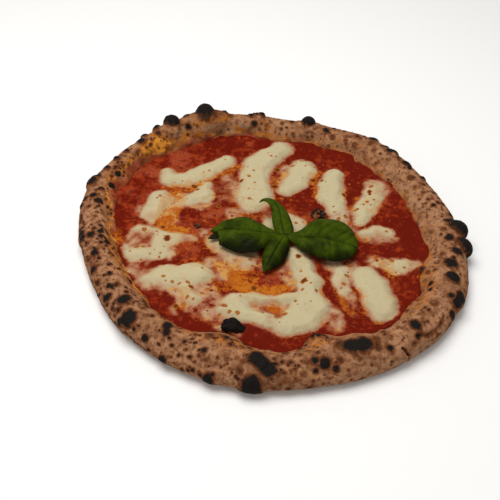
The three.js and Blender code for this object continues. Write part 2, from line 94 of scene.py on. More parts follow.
BURNS = (  # burnt spots: heading, place across the rim, radius, rise, how black
    # back, from the left to the right
    (164.5, 0.46, 4.2, 0.8, 1), (161.8, 0.44, 3.4, 1.0, 1), (157.5, 0.38, 2.5, 2.2, 1),
    (152, 0.39, 2.4, 2.4, 1), (147.5, 0.37, 2.4, 2.2, 0.9), (141, 0.37, 3.7, 1.6, 1),
    (138.5, 0.42, 2.8, 2.8, 1), (134.5, 0.32, 2.4, 0.6, 0.8), (133.3, 0.42, 3.2, 3.4, 1),
    (127.4, 0.43, 7.8, 0, 1), (127, 0.26, 1.7, 0.4, 0.65), (123.5, 0.25, 2.7, 0.6, 0.85),
    (115.4, 0.44, 9.1, 0, 1), (122, 0.41, 2.4, 1.2, 1), (108.5, 0.41, 2.4, 1.0, 1),
    (107, 0.32, 2.3, 0.3, 0.6), (100, 0.37, 2.7, 2.0, 1), (98, 0.4, 2.3, 1.2, 1), (96, 0.38, 2.6, 2.2, 1),
    (99, 0.24, 3.0, 0.7, 0.85), (100.4, 0.2, 2.2, 0.3, 0.6), (94.5, 0.24, 2.4, 0.3, 0.6),
    (93, 0.3, 1.8, 0.2, 0.6), (88.5, 0.32, 1.9, 0.3, 0.65), (85, 0.36, 2.4, 0.5, 0.8),
    (84, 0.19, 2.0, 0.2, 0.6), (79, 0.41, 7.0, 0, 1), (72, 0.24, 1.5, 0.2, 0.5),
    (71.5, 0.31, 3.3, 0.6, 0.85), (69.5, 0.42, 1.6, 0.6, 0.9), (68.4, 0.24, 2.3, 0.4, 0.75),
    (65.5, 0.43, 1.6, 0.6, 0.9), (63, 0.25, 1.9, 0.3, 0.65), (60, 0.37, 2.2, 0.7, 0.8),
    (59, 0.24, 2.2, 0.3, 0.7), (58.4, 0.34, 1.6, 0.2, 0.65), (58, 0.44, 1.5, 0.6, 0.85),
    (54, 0.41, 4.1, 0, 1), (53.5, 0.32, 2.2, 0.2, 0.65), (54, 0.2, 1.9, 0.2, 0.65),
    (50.5, 0.27, 2.0, 0.3, 0.7), (48.8, 0.44, 2.7, 1.4, 1), (45.6, 0.39, 3.6, 0, 1),
    (44, 0.44, 3.0, 0.4, 1), (46, 0.2, 1.7, 0.2, 0.55), (41.5, 0.41, 1.5, 0.4, 0.85), (37, 0.41, 4.0, 0, 1),
    (35, 0.41, 2.4, 0.3, 0.85),
    # right, from the back to the front
    (30, 0.32, 3.0, 0.5, 0.75), (28.5, 0.47, 2.6, 1.6, 1), (24, 0.27, 1.8, 0.2, 0.55),
    (20.5, 0.32, 2.0, 0.3, 0.65), (20, 0.46, 1.7, 0.7, 0.85), (16.5, 0.37, 1.6, 0.2, 0.6),
    (14.2, 0.41, 1.9, 0.3, 0.8), (13.6, 0.47, 1.6, 0.6, 0.85), (12.8, 0.33, 2.2, 0.4, 0.85),
    (10.5, 0.41, 1.4, 0.2, 0.7), (8.5, 0.5, 2.4, 1.0, 1), (4.5, 0.39, 2.1, 0.4, 1), (2, 0.52, 7.9, 0, 1),
    (5, 0.46, 3.0, 0, 1), (0, 0.31, 1.7, 0.2, 0.7), (-3.8, 0.35, 3.0, 0.4, 1), (-5, 0.56, 7.7, 0, 1),
    (-8, 0.62, 3.0, 0, 1), (-10.2, 0.41, 4.3, 0, 1), (-12, 0.28, 2.0, 0.3, 0.7),
    (-13.4, 0.38, 1.7, 0.2, 0.85), (-16.5, 0.37, 4.9, 0, 1), (-13, 0.66, 1.8, 0.2, 0.75),
    (-18, 0.66, 1.5, 0.2, 0.7), (-22, 0.41, 5.2, 0, 1), (-26.8, 0.53, 4.2, 0, 1), (-28.2, 0.525, 4.3, 0, 1),
    (-29.6, 0.52, 4.2, 0, 1), (-29, 0.43, 2.4, 0.3, 0.85), (-26, 0.22, 2.3, 0.5, 0.9),
    (-29, 0.23, 2.0, 0.5, 0.85), (-33.5, 0.55, 3.3, 0.8, 1), (-33, 0.64, 1.6, 0.2, 0.75),
    (-36, 0.63, 1.5, 0.2, 0.7), (-34.8, 0.33, 3.0, 0.3, 0.7), (-38, 0.38, 2.2, 0.2, 0.5),
    (-40, 0.32, 2.6, 0.2, 0.5), (-46, 0.38, 3.7, 0, 1), (-47.8, 0.47, 1.9, 0.4, 0.9),
    # front, from the right to the left
    (-56.5, 0.46, 2.2, 0.4, 0.95), (-50, 0.3, 1.6, 0.2, 0.55), (-54.5, 0.36, 1.9, 0.2, 0.55),
    (-58.5, 0.33, 2.6, 0.3, 0.6), (-62.4, 0.36, 4.8, 0, 1), (-63.8, 0.37, 4.9, 0, 1),
    (-65.2, 0.36, 4.7, 0, 1), (-66.6, 0.35, 4.9, 0, 1), (-69, 0.32, 3.6, 0.2, 0.55),
    (-66.5, 0.44, 1.7, 0.2, 0.7), (-59.5, 0.42, 2.2, 0.2, 0.7), (-62, 0.5, 1.6, 0.2, 0.55),
    (-70.8, 0.45, 2.0, 0.3, 0.75), (-72.5, 0.51, 2.3, 0.4, 1), (-75, 0.45, 3.8, 0, 1),
    (-77.5, 0.41, 2.4, 0.3, 1), (-77.8, 0.49, 1.9, 0.3, 0.9), (-81, 0.5, 2.6, 0.2, 0.5),
    (-83, 0.55, 2.2, 0.2, 0.4), (-75, 0.17, 2.4, 1.4, 0.85), (-73.3, 0.18, 2.8, 1.6, 0.9),
    (-71.6, 0.2, 2.2, 1.2, 0.8), (-77.3, 0.16, 1.8, 0.6, 0.75), (-78.6, 0.2, 1.6, 0.3, 0.65),
    (-70.4, 0.25, 1.7, 0.3, 0.65), (-18.2, 0.14, 2.6, 1.0, 0.8), (-20.5, 0.2, 2.0, 0.5, 0.7),
    (-85.2, 0.25, 2.2, 0.5, 0.75), (-87.5, 0.48, 2.6, 0.2, 0.45), (-86, 0.55, 2.4, 0.2, 0.4),
    (-93.6, 0.36, 5.0, 0, 1), (-92.7, 0.38, 4.7, 0, 1), (-91.8, 0.4, 4.7, 0, 1), (-90.9, 0.425, 4.6, 0, 1),
    (-90, 0.45, 4.6, 0, 1), (-93.8, 0.53, 2.0, 0.3, 0.9), (-94, 0.63, 6.9, 0, 1),
    (-97.5, 0.49, 2.2, 0.3, 0.75), (-97, 0.41, 1.8, 0.2, 0.6), (-99.5, 0.5, 2.4, 0.2, 0.45),
    (-101.5, 0.43, 1.8, 0.2, 0.7), (-104, 0.26, 2.6, 0.4, 0.8), (-104, 0.49, 1.7, 0.2, 0.6),
    (-104.9, 0.65, 3.9, 0, 1), (-101, 0.22, 1.9, 0.3, 0.7), (-108.2, 0.42, 2.4, 0.3, 0.85),
    (-109, 0.29, 2.6, 0.3, 0.7), (-98, 0.27, 1.7, 0.2, 0.65), (-113, 0.43, 2.4, 0.2, 0.4),
    (-118, 0.65, 3.0, 0, 1), (-114, 0.62, 1.5, 0.2, 0.5),
    # left, from the front to the back
    (-121.6, 0.32, 3.3, 0, 1), (-120.6, 0.37, 2.6, 0, 1), (-118.5, 0.3, 1.5, 0.2, 0.6),
    (-125, 0.53, 2.7, 0.7, 1), (-126.5, 0.42, 1.7, 0.2, 0.6), (-129, 0.33, 1.6, 0.2, 0.6),
    (-132.5, 0.47, 5.9, 0, 1), (-134.3, 0.56, 2.6, 0.7, 1), (-132.5, 0.3, 1.9, 0.2, 0.65),
    (-128, 0.23, 1.4, 0.2, 0.7), (-135, 0.18, 2.6, 0.5, 0.9), (-139, 0.38, 4.7, 0, 1),
    (-139.8, 0.53, 1.9, 0.3, 0.8), (-137.5, 0.49, 2.0, 0.3, 0.8), (-144.3, 0.52, 2.7, 0.6, 1),
    (-147.5, 0.43, 2.4, 0.5, 0.9), (-146.5, 0.35, 2.4, 0.4, 0.75), (-151.5, 0.54, 2.1, 0.4, 0.8),
    (-152, 0.36, 2.1, 0.4, 0.9), (-156.8, 0.52, 2.5, 0.6, 1), (-161.5, 0.27, 1.7, 0.3, 0.8),
    (-163, 0.44, 2.6, 0.6, 0.95), (-162, 0.54, 1.7, 0.3, 0.7), (-166.8, 0.26, 2.4, 0.5, 1),
    (-168, 0.5, 1.9, 0.4, 0.75), (-169.5, 0.31, 2.0, 0.3, 0.9), (-170.8, 0.41, 2.9, 0.5, 1),
    (-171.8, 0.3, 2.2, 0.4, 0.9), (-170.8, 0.53, 2.5, 0.2, 1), (-172.8, 0.53, 2.8, 0, 1),
    (-175, 0.53, 2.6, 0.2, 1), (-175, 0.28, 1.7, 0.3, 0.85), (-173.3, 0.36, 1.7, 0.3, 0.85),
    (178, 0.24, 1.3, 0.2, 0.7), (178.5, 0.3, 1.4, 0.2, 0.75), (-179.5, 0.33, 1.4, 0.2, 0.75),
    (176, 0.41, 1.8, 0.4, 0.8), (174.2, 0.55, 2.7, 1.0, 1), (172, 0.5, 2.6, 0.8, 0.95),
    (171, 0.37, 2.8, 0.7, 0.95), (173, 0.29, 3.0, 0.7, 1), (167, 0.29, 2.0, 0.4, 0.85),
    (163, 0.21, 3.2, 0.5, 0.95), (157.5, 0.23, 3.0, 0.6, 1), (155, 0.29, 1.7, 0.2, 0.75),
    (153, 0.26, 1.8, 0.2, 0.75), (151, 0.22, 1.5, 0.2, 0.7), (158.5, 0.28, 1.5, 0.2, 0.7),
    (160, 0.17, 1.7, 0.2, 0.7), (154.5, 0.19, 1.4, 0.2, 0.65), (148, 0.24, 1.3, 0.2, 0.65),
    (144.5, 0.27, 1.5, 0.2, 0.7), (141, 0.25, 1.4, 0.2, 0.6), (146, 0.2, 1.2, 0.1, 0.6),
)

SKIRTS = (  # broad browned stretches: heading, across, length, width, strength
    (113.5, 0.36, 22, 7, 0.8), (-68, 0.36, 22, 8, 0.5), (-59, 0.42, 10, 6, 0.3), (-164, 0.5, 30, 9, 0.25),
    (-150, 0.58, 26, 8, 0.25), (-127, 0.66, 30, 6, 0.25), (-83, 0.55, 20, 8, 0.2), (-20, 0.6, 30, 10, 0.25),
    (2, 0.42, 16, 8, 0.3), (-104, 0.1, 13, 6, 0.8), (-107, 0.24, 9, 6, 0.5), (-46, 0.38, 7, 7, 0.35),
    (-95, 0.5, 12, 10, 0.2),
)

OIL_STAINS = (  # orange oil soaked into the rim: heading, across, length, width, strength
    (-98, 0.25, 14, 6, 0.56), (-105, 0.3, 12, 6, 0.62), (-112, 0.28, 14, 5, 0.56),
    (-120, 0.22, 20, 5, 0.59), (-130, 0.17, 22, 4.5, 0.59), (-141, 0.13, 22, 4, 0.56),
    (-152, 0.17, 18, 5.5, 0.56), (-161, 0.2, 18, 6, 0.62), (-169, 0.19, 14, 6, 0.68),
    (-175, 0.13, 14, 5, 0.62), (-91, 0.22, 14, 4, 0.31), (-75, 0.24, 13, 8, 0.62), (-71, 0.2, 8, 5, 0.31),
    (-66, 0.2, 12, 4, 0.31), (-56, 0.19, 20, 4, 0.31), (-20, 0.13, 16, 6, 0.68), (-26, 0.18, 16, 7, 0.56),
    (-34, 0.22, 18, 6, 0.5), (-42, 0.2, 16, 4.5, 0.37), (138.5, 0.19, 12, 8, 3.2), (133, 0.18, 8, 5, 1.2),
    (155, 0.25, 28, 6, 0.7), (166, 0.25, 20, 6, 0.4), (-177.5, 0.11, 7, 3.5, 1.7), (94, 0.24, 10, 5, 0.6),
    (113, 0.26, 26, 3, 0.75), (124, 0.26, 20, 4, 0.43), (35, 0.24, 24, 6, 0.12), (21, 0.22, 16, 6, 0.2),
    (8, 0.18, 16, 6, 0.2), (0, 0.18, 14, 5, 0.2), (178, 0.19, 24, 4, 0.31), (47, 0.16, 26, 5, 0.22),
    (64, 0.24, 26, 6, 0.22),
)

PALE_PATCHES = (  # paler, drier skin on the inner slope: heading, across, length, width, strength
    (104, 0.17, 20, 6, 1.3), (126, 0.24, 14, 5, 1.0), (116, 0.2, 18, 4, 0.7), (90, 0.3, 12, 7, 0.6),
    (-172, 0.3, 16, 6, 0.7), (20, 0.2, 30, 5, 0.6),
)

FOOT_SWELLS = (  # dough over the sauce's border: heading, spread, rise
    (173, 15, 2.6), (48, 17, 2.4), (-37, 8, 1.2),
)

SAUCE_FILMS = (  # thin sauce drawn up the rim's inner slope: heading, spread, reach across the rim
    (103, 13, 0.14), (121, 12, 0.15), (148, 13, 0.23), (163, 13, 0.22), (-178, 10, 0.15), (80, 10, 0.1),
    (-12, 8, 0.15), (-31, 5, 0.13),
)
SAUCE_LINE = 0.085  # how far across the rim sauce reaches all round

FRECKLE_SPREAD = 0.35  # how closely freckles lie where no crowd is
FRECKLE_CROWDS = (  # where they lie closer together: heading, spread, how much closer
    (-158, 48, 0.55), (150, 25, 0.25), (-88, 32, 0.3), (38, 40, 0.2),
)
FIRE_SIDE = (-158, 52)  # the darkest freckles: heading, spread
NEAR_FRONT = (-88, 32)  # the largest freckles: heading, spread

FLOUR_BANDS = (  # pale floury stretches of the rim's outer side: heading, spread, strength
    (-50, 26, 0.62), (-84, 24, 0.5), (-128, 22, 0.45), (165, 30, 0.6), (20, 40, 0.5), (80, 40, 0.5),
    (-160, 20, 0.5),
)

CREASES = (  # folds and cracks in the dough: width, depth, then stations of heading and place across
    (1.5, 1.1, ((-47.5, 0.47), (-45, 0.505), (-42, 0.52), (-39, 0.51), (-36.5, 0.485))),
    (1.1, 0.7, ((-46, 0.52), (-43, 0.545), (-40, 0.545), (-37.5, 0.52))),
    (0.8, 2.6, ((-53.6, 0.5), (-52.9, 0.54), (-52.8, 0.58), (-52.2, 0.62), (-52.4, 0.68))),
    (1.6, 0.6, ((-176, 0.6), (-170, 0.64), (-163, 0.62))),
    (1.4, 0.6, ((-152, 0.66), (-143, 0.68), (-134, 0.7))),
    (1.3, 0.5, ((176, 0.48), (179, 0.52), (-177, 0.5))),
    (1.6, 0.5, ((-127, 0.68), (-120, 0.72), (-112, 0.7))),
)

BUBBLES = (  # burnt bubbles standing up through the sauce: x, y, half length, half width, top, hollow
    (35.5, 27, 7.8, 6.4, 10.4, 2.6),
    (-25.5, -98.5, 9.5, 6, 14.5, 0.0),
)

SAUCE_TOP = 6.5
SAUCE_WAVES = (  # rise, wavelength, heading, start of the wave in degrees
    (0.35, 92, 25, 40), (0.25, 61, 118, 200), (0.18, 47, 70, 90),
)

# The melted cheese: thickness, then strokes of stations (x, y, half width).
MOZZARELLA = (
    (3.2, ((-92, 75, 6.5), (-89, 65, 9), (-74, 66, 9), (-58, 78, 10), (-43, 93, 8.5))),
    (2.4, ((-94, 38, 11.5), (-100, 20, 9))),
    (2.8, ((-58, 60, 5), (-60, 46, 9.5), (-70, 39, 7.5))),
    (3.4, ((3, 115.3, 10.5), (-6, 104, 11.5), (-16, 90, 12.5), (-18.5, 76, 12), (-18, 62, 12),
           (-17.5, 46, 15.5), (-18, 38, 12.5))),
    (3.0, ((23, 92, 9.5), (24, 84, 11.5), (17, 69, 10.5), (9, 56, 8))),
    (3.2, ((50, 80, 8.5), (47, 66, 10), (45.5, 50, 10.5), (50, 36, 8), (52, 22, 6.5))),
    (2.6, ((83, 66, 7.5), (80, 52, 8.5), (74, 37, 9), (68, 22, 6))),
    (2.2, ((70, 6, 4.5), (80, 7.5, 7.5), (90, 8, 5))),
    (1.8, ((-3, 12, 8), (8, 17, 9.5), (17, 14, 9))),
    (2.2, ((-104, -1, 5), (-92, -6, 7), (-76, -9, 6), (-64, -8, 4)),
     ((-88, -12, 8), (-88, -25, 8.5), (-104, -28, 8.5))),
    (3.0, ((-90, -52, 8.5), (-75, -49, 11), (-54, -47, 10.5)), ((-64, -58, 6), (-55, -71, 6))),
    (1.6, ((-44, -12, 8), (-32, -20, 9), (-20, -32, 7))),
    (3.6, ((17, -20, 7.5), (22, -35, 9), (27, -50, 8.5), (28, -64, 9)),
     ((-28, -71, 6), (-12, -68, 5.5), (6, -69, 5.5), (22, -68, 8)),
     ((29, -75, 13.5), (22, -86, 13), (12, -93, 9)),
     ((-34, -83, 6), (-18, -85, 6.5), (-4, -90, 6.5), (8, -96, 7)),
     ((-28, -72, 7), (-22, -79, 8), (-20, -84, 7))),
    (1.8, ((50, -36, 5.5), (49, -48, 6.5), (52, -57, 4.5))),
    (3.4, ((69, -40.5, 10.4), (73, -51, 12), (77.5, -66, 12.4), (79, -75.5, 11))),
    (1.8, ((92, -28, 5.5), (100, -28, 5), (107, -26.5, 3))),
)
CHEESE_SHOULDER = 6.0  # how far in a piece is full height, where the leaves lie on it
CHEESE_BLEND = 3.0  # how softly strokes join
STROKE_EDGE = (-4.5, 3.5)  # depths between which oil and veils fade in

# Orange oil on sauce and cheese: strength, then stations (x, y, half width).
OIL_STROKES = (
    (0.9, ((-94, 53, 2), (-84, 53, 3), (-71, 57, 5.5), (-61, 64, 3), (-50, 71, 2.6), (-40, 78, 3),
           (-32, 88, 3))),
    (1.3, ((-80, 46, 6), (-84, 32, 9), (-87, 16, 9), (-86, 6, 6), (-74, -1, 4), (-68, 0, 3))),
    (1.2, ((-38, -36, 5), (-27, -44, 8), (-22, -57, 7), (-10, -60, 5), (2, -60, 4.5), (13, -57, 3))),
    (0.8, ((-33, -55, 6), (-42, -60, 4), (-52, -66, 3))),
    (0.7, ((-20, -38, 6), (-13, -48, 5))),
    (0.7, ((-72, -63, 2.5), (-62, -63, 3), (-60, -74, 5), (-62, -81, 3.5))),
    (0.9, ((39, 83, 2.6), (32, 74, 4), (34, 62, 2.6), (33, 50, 2))),
    (0.8, ((6, 80, 3), (2, 70, 3), (-8, 64, 3))),
    (0.8, ((54, 62, 2.5), (57, 50, 1.5))),
    (0.8, ((68, 52, 2.6), (62, 34, 2.4))),
    (0.8, ((87, 47, 2.6), (80, 34, 3.6), (76, 30, 2))),
    (0.7, ((64, 3, 4), (71, -2, 3))),
    (0.55, ((83, 62, 3), (79, 52, 4), (72, 38, 4))),
    (0.8, ((78, -22, 4), (87, -29, 4.5), (89, -40, 3.6), (91, -47, 2.4))),
    (0.7, ((112, -30, 4), (108, -38, 3))),
    (0.8, ((48, -60, 3), (51, -72, 3), (57, -80, 3.6))),
    (0.8, ((61, -56, 2.6), (65, -66, 2.4), (67, -77, 2.2))),
    (0.7, ((13, -43, 2.8), (15, -53, 2.8))),
    (0.7, ((35, -60, 3.2), (39, -70, 2))),
    (0.5, ((6, -105, 2.6), (22, -103, 2.6), (31, -97, 2))),
    (0.6, ((36, -92, 2.6), (46, -95, 2.6))),
    (0.8, ((-28, 23, 2.6), (-18, 21, 2), (-8, 20, 2))),
    (0.6, ((0, 46, 2.6), (8, 43, 2.6))),
    (0.6, ((-36, 52, 2), (-35, 44, 2))),
    (0.6, ((-50, 55, 2), (-51, 44, 2))),
    (0.8, ((-122, -7, 5), (-119, -15, 4))),
    (1.1, ((-4, -77, 2.4), (2, -79, 3.6), (7, -80, 2.4))),
    (0.6, ((-40, -94, 3), (-50, -90, 3))),
)

# Cheese so thin that it only clouds the sauce: how milky, then stations (x, y, half width).
VEILS = (
    (0.75, ((-20, -76, 5), (-8, -77, 5), (4, -77, 5))),
    (0.55, ((-103, -4, 8), (-106, -20, 9))),
    (0.7, ((-80, -20, 7), (-78, -26, 6))),
    (0.55, ((-99, -39, 7), (-99, -50, 8), (-92, -60, 6))),
    (0.6, ((-76, -61, 8), (-52, -60, 8))),
    (0.5, ((-62, -64, 8), (-58, -74, 8), (-64, -82, 6))),
    (0.6, ((-52, -2, 5), (-45, -8, 8), (-30, -21, 9), (-18, -29, 9), (-8, -31, 7))),
    (0.5, ((-46, -34, 5), (-32, -32, 7), (-20, -36, 6))),
    (0.35, ((-40, -44, 6), (-30, -50, 5))),
    (0.4, ((-46, -66, 6), (-36, -76, 6), (-40, -86, 7))),
    (0.5, ((-40, -82, 7), (-50, -86, 5))),
    (0.75, ((-86, 36, 9), (-70, 40, 9))),
    (0.4, ((-86, 22, 9), (-84, 12, 7))),
    (0.16, ((-50, 57, 6), (-44, 47, 7))),
    (0.5, ((-98, 13, 7), (-105, 24, 7))),
    (0.4, ((-58, 32, 6), (-50, 40, 5))),
    (0.5, ((8, 86, 6), (5, 71, 6), (1, 58, 6))),
    (0.55, ((62, 11, 4), (72, 4, 8), (88, 3, 8))),
    (0.6, ((76, -24, 5), (92, -29, 7), (104, -27, 6))),
    (0.45, ((54, -60, 4), (57, -72, 4), (58, -80, 3))),
    (0.9, ((56, -34, 5), (62, -40, 5), (62, -48, 3.5))),
    (0.5, ((44, -29, 6), (55, -30, 6))),
    (0.55, ((40, -82, 8), (44, -90, 6))),
    (0.45, ((84, 68, 8), (88, 58, 6))),
    (0.4, ((62, 30, 6), (56, 20, 6))),
    (0.5, ((-4, 8, 9), (14, 12, 11))),
    (0.35, ((-36, -96, 4), (-22, -101, 4))),
    (0.35, ((-40, 70, 5), (-34, 56, 5), (-32, 40, 6))),
    (0.35, ((-34, 22, 7), (-18, 20, 8), (-4, 22, 7))),
    (0.35, ((12, -22, 6), (10, -40, 5), (16, -54, 5))),
)

# Where the cheese is thin and the sauce shows through: x, y, radius, strength.
BLUSHES = (
    (-99, -12, 8, 0.75), (-104, -20, 4, 0.8), (-94, -20, 5, 0.7), (-93, -43, 7.5, 0.75), (-96, -50, 5, 0.5),
    (-65, -11, 6, 0.6), (-36, -24, 8, 0.45), (-24, -30, 7, 0.6), (-46, -18, 5, 0.3), (-1, -77, 6.5, 1.0),
    (-11, -74, 4, 0.7), (4, -79, 3.5, 0.9), (-1, -90, 4.5, 0.45), (-38, -84, 5, 0.35), (-97, 72, 5, 0.25),
    (-88, 76, 5, 0.3), (80, 69, 8, 0.5), (85, 57, 5, 0.45), (79, 0, 7, 0.55), (60, 26, 4, 0.4),
    (52, 24, 6, 0.35), (103, -27, 8, 0.35), (30, 91, 4, 0.4), (40, -88, 6, 0.3), (42, -74, 4, 0.3),
    (4, 20, 10, 0.4), (-104, 30, 5, 0.25), (-102, 17, 5, 0.4), (52, -52, 5, 0.4), (-66, -56, 4, 0.3),
    (-56, -64, 4, 0.5), (-88, 45, 6, 0.3), (72, 52, 3, 0.3),
)

SOOT_ON_SAUCE = (  # a heap of soot by the basil: x, y, size
    (-61.6, 7.2, 1.7), (-59.6, 5.6, 1.8), (-60.6, 4.4, 1.2), (-58.4, 7, 1),
)

SPLASHES = (  # small orange-brown splashes: x, y, radius, darkness
    (-94, 39, 1.8, 0.5), (-57, 76, 1.6, 0.3), (-45, 92, 1.1, 0.2), (-68, 57, 3.0, 0.9), (-65, 52, 2.2, 0.9),
    (-87, 3, 2.4, 1.0), (-101, -2, 2.6, 0.7), (-91, -4, 1.5, 0.4), (-82, -11, 3.2, 0.9),
    (-104, -21, 2.0, 0.7), (-99, -21, 2.0, 0.7), (-83, -20, 1.0, 0.4), (-108, -27, 1.2, 0.3),
    (-93, -29, 1.0, 0.3), (-99, -34, 1.3, 0.3), (-85, -28, 1.2, 0.3), (-73, -25, 1.9, 0.5),
    (-79, -53, 1.8, 0.4), (-72, -58, 1.4, 0.4), (-77, -57, 1.0, 0.3), (-67, -59, 1.6, 0.4),
    (-61, -58, 2.1, 0.6), (-58, -62, 2.4, 0.8), (-43, -52, 1.5, 0.4), (-46, -62, 1.8, 0.6),
    (-50, -66, 1.7, 0.6), (-60, -72, 1.8, 0.5), (-55, -74, 1.2, 0.3), (-62, -78, 2.3, 0.5),
    (-67, -80, 2.8, 0.8), (-33, -78, 2.6, 0.7), (-29, -85, 1.8, 0.4), (-23, -86, 2.0, 0.5),
    (-36, -87, 1.8, 0.4), (-12, -93, 1.2, 0.2), (-6, -83, 2.0, 0.5), (4, -86, 2.0, 0.6), (9, -83, 2.4, 0.6),
    (-21, 40, 1.9, 0.5), (-23, 70, 1.8, 0.5), (-29, 66, 2.1, 0.9), (-19, 78, 1.5, 0.3), (-5, 99, 1.6, 0.4),
    (1, 85, 3.2, 1.0), (2, 71, 2.6, 0.7), (-3, 74, 1.3, 0.4), (-1, 60, 3.4, 0.9), (22, 98, 1.9, 0.6),
    (14, 90, 1.7, 0.6), (17, 94, 1.3, 0.4), (25, 89, 1.5, 0.3), (33, 90, 1.6, 0.6), (32, 72, 3.0, 0.9),
    (39, 71, 2.2, 0.8), (42, 67, 1.1, 0.3), (48, 29, 1.2, 0.3), (51, 20, 1.8, 0.6), (57, 25, 2.2, 0.7),
    (60, 19, 1.6, 0.5), (80, 64, 2.3, 0.6), (78, 57, 2.6, 0.9), (78, 53, 1.7, 0.8), (75, 43, 1.9, 0.5),
    (81, 46, 1.3, 0.4), (72, 39.5, 1.7, 0.5), (66, 34, 2.0, 0.6), (17, 14, 1.8, 0.6), (88, 8, 1.6, 0.5),
    (72, 13, 1.4, 0.6), (19, -27, 2.7, 0.8), (21, -42, 1.2, 0.4), (23, -52, 2.9, 0.8), (22, -60, 1.5, 0.3),
    (32, -61, 1.7, 0.6), (55, -42, 2.1, 0.6), (56, -38, 1.2, 0.4), (57, -31, 1.8, 0.7), (52, -52, 2.1, 0.6),
    (50, -56, 1.4, 0.5), (90, -23, 2.4, 0.6), (73, -87, 2.0, 0.3), (77, -87, 1.8, 0.3),
    (-17, -30, 2.0, 0.3), (-15, -36, 1.8, 0.5), (-13, -58, 3.0, 0.8), (-8, -61, 1.8, 0.7),
    (-46, 32, 2.2, 0.9), (-36, 44, 2.0, 0.5), (-34, 83, 2.0, 0.8), (57, 54, 2.6, 0.9), (88, -40, 1.8, 0.9),
    (-1, 99, 1.2, 0.3),
)
SPLASH_SIZE = 0.84  # the radii above are scaled by this
SPECKS = 130  # tiny splashes besides, placed at random
SPECK_REACH = 104  # how far from the middle they lie
TOMATO_BITS = (260, 0.5, 1.3)  # how many, least size, greatest size
SOOT_FLECKS = 240  # near the burnt spots
BIT_GRAIN = 1.1  # size of the bits' roughness

FRECKLE_SEED = 11
SPECK_SEED = 53
BIT_SEED = 29
BUBBLE_SEED = 31
LEAF_SEED = 101
SEED_STEP = 10  # from one bubble or leaf to the next

# The basil. Each leaf has stations from its base to its tip: x, y and height of the midrib, then how
# far the blade reaches to the left and how far its edge drops, the same to the right, and the painted
# shade at that station, darkest where the tip curls under.
STEM = (7.5, -8.5, 11.5, 15.5, 1.9, 1.5)  # x, y, foot, top, radius at the foot and at the top
LEAF_THICKNESS = 0.8
VEIN_SPACING = 6.6
PLEAT_SPACING = 3.1
FULL_HALF_WIDTH = 18  # half width at which a leaf's relief is full size
LEAVES = (
    ((6.4, -8.7, 15.4, 0.6, 0, 0.6, 0, 0.2), (-2, -9, 16.2, 7, 1.5, 6, 1, 0),
     (-11, -9.3, 16.8, 16, 4, 12.5, 1.5, 0), (-20, -9, 17, 18.8, 5, 17, 1.5, 0),
     (-29, -7.6, 16.5, 17.5, 5, 17.5, 1.5, 0), (-37, -6.4, 15.2, 14.4, 4, 14.6, 2, 0),
     (-41, -6.4, 14.2, 13.6, 3, 12, 2.4, 0), (-43.6, -6.8, 13, 11, 1.8, 7.4, 1.6, 0.1),
     (-44.8, -8.2, 11.4, 4, 0.4, 2.4, 0.6, 1.2), (-47.4, -10, 10.2, 2.4, 0, 2.2, 0, 2),
     (-50.4, -10.8, 9.6, 0.3, 0, 0.3, 0, 2)),
    ((8.4, -9.2, 15.4, 0.6, 0, 0.6, 0, 0.2), (17, -12, 16.3, 8.5, 1, 6, 2, 0),
     (25, -13.6, 17, 17.5, 0, 12, 3.5, 0), (34, -14, 17, 22, -0.8, 16, 4, 0),
     (43, -15, 16.6, 24.8, -0.2, 17, 4.3, 0), (51, -16.5, 15.8, 22.8, 0.5, 15.5, 4, 0),
     (57, -18, 14.8, 17.5, 1.5, 12.5, 3, 0.1), (61.2, -19, 13.8, 10.5, 1.5, 8.5, 1.5, 0.2),
     (63.4, -19.5, 13, 0.3, 0, 0.3, 0, 0.3)),
    ((7.5, -8.5, 15.6, 2.2, 0.4, 6, 1.6, 0.2), (6.5, -3.5, 17, 6, 1.5, 8.8, 2.6, 0),
     (5, 2.5, 18.6, 6.5, 1.5, 8.8, 2, 0), (4, 9, 20.3, 6.3, 1.2, 7.2, 2, 0),
     (2.4, 14.5, 21.8, 5.6, 1.2, 5.4, 1.6, 0), (-0.6, 19, 22.8, 4.2, 1, 3.8, 1.2, 0),
     (-4.5, 22, 23, 2.8, 0.8, 2.8, 0.8, 0), (-9, 23.2, 22.2, 1.5, 0.4, 1.6, 0.4, 0.2),
     (-12.5, 22, 20.6, 0.3, 0, 0.3, 0, 0.4)),
    ((7.8, -9.2, 15.4, 1.5, 0, 1.5, 0, 0.2), (6.6, -15, 16.4, 5.5, 2.5, 7.4, 1.5, 0),
     (4.8, -20.5, 16.8, 7.6, 4.5, 9.4, 2.2, 0.12), (2, -26.5, 16.2, 8.4, 5.8, 9.2, 2.2, 0.25),
     (-0.8, -32.5, 14.6, 8, 5.4, 7.6, 1.8, 0.3), (-3.2, -38, 12.8, 5.4, 3.4, 5.2, 1.2, 0.3),
     (-5, -42.5, 11.3, 2.6, 0.8, 2.6, 0.6, 0), (-6.4, -45.5, 10.4, 0.3, 0, 0.3, 0, 0)),
)

CAMERA_PLACE = (0.4, -436.2, 394.5)
CAMERA_AIM = (-14.56, -12.23, 0.0)
CAMERA_ROLL = 1.15
CAMERA_LENS = 53.8
SENSOR_WIDTH = 36

# Lights in metres: size, place.
KEY_LIGHT = (0.9, (-0.22, 0.08, 1.07))
FILL_LIGHT = (0.8, (-0.2, -0.85, 0.7))
FLOOR_HALF = 3000


def tone(red, green, blue):
    """A linear colour from display values between 0 and 255."""
    values = (channel / 255 for channel in (red, green, blue))
    return tuple(v / 12.92 if v <= 0.04045 else ((v + 0.055) / 1.055) ** 2.4 for v in values)


def length_property(label, description, default_mm):
    """A setting of a few millimetres or less"""
    return FloatProperty(
        name=label, description=description, default=default_mm * MM, unit="LENGTH", precision=5,
    )


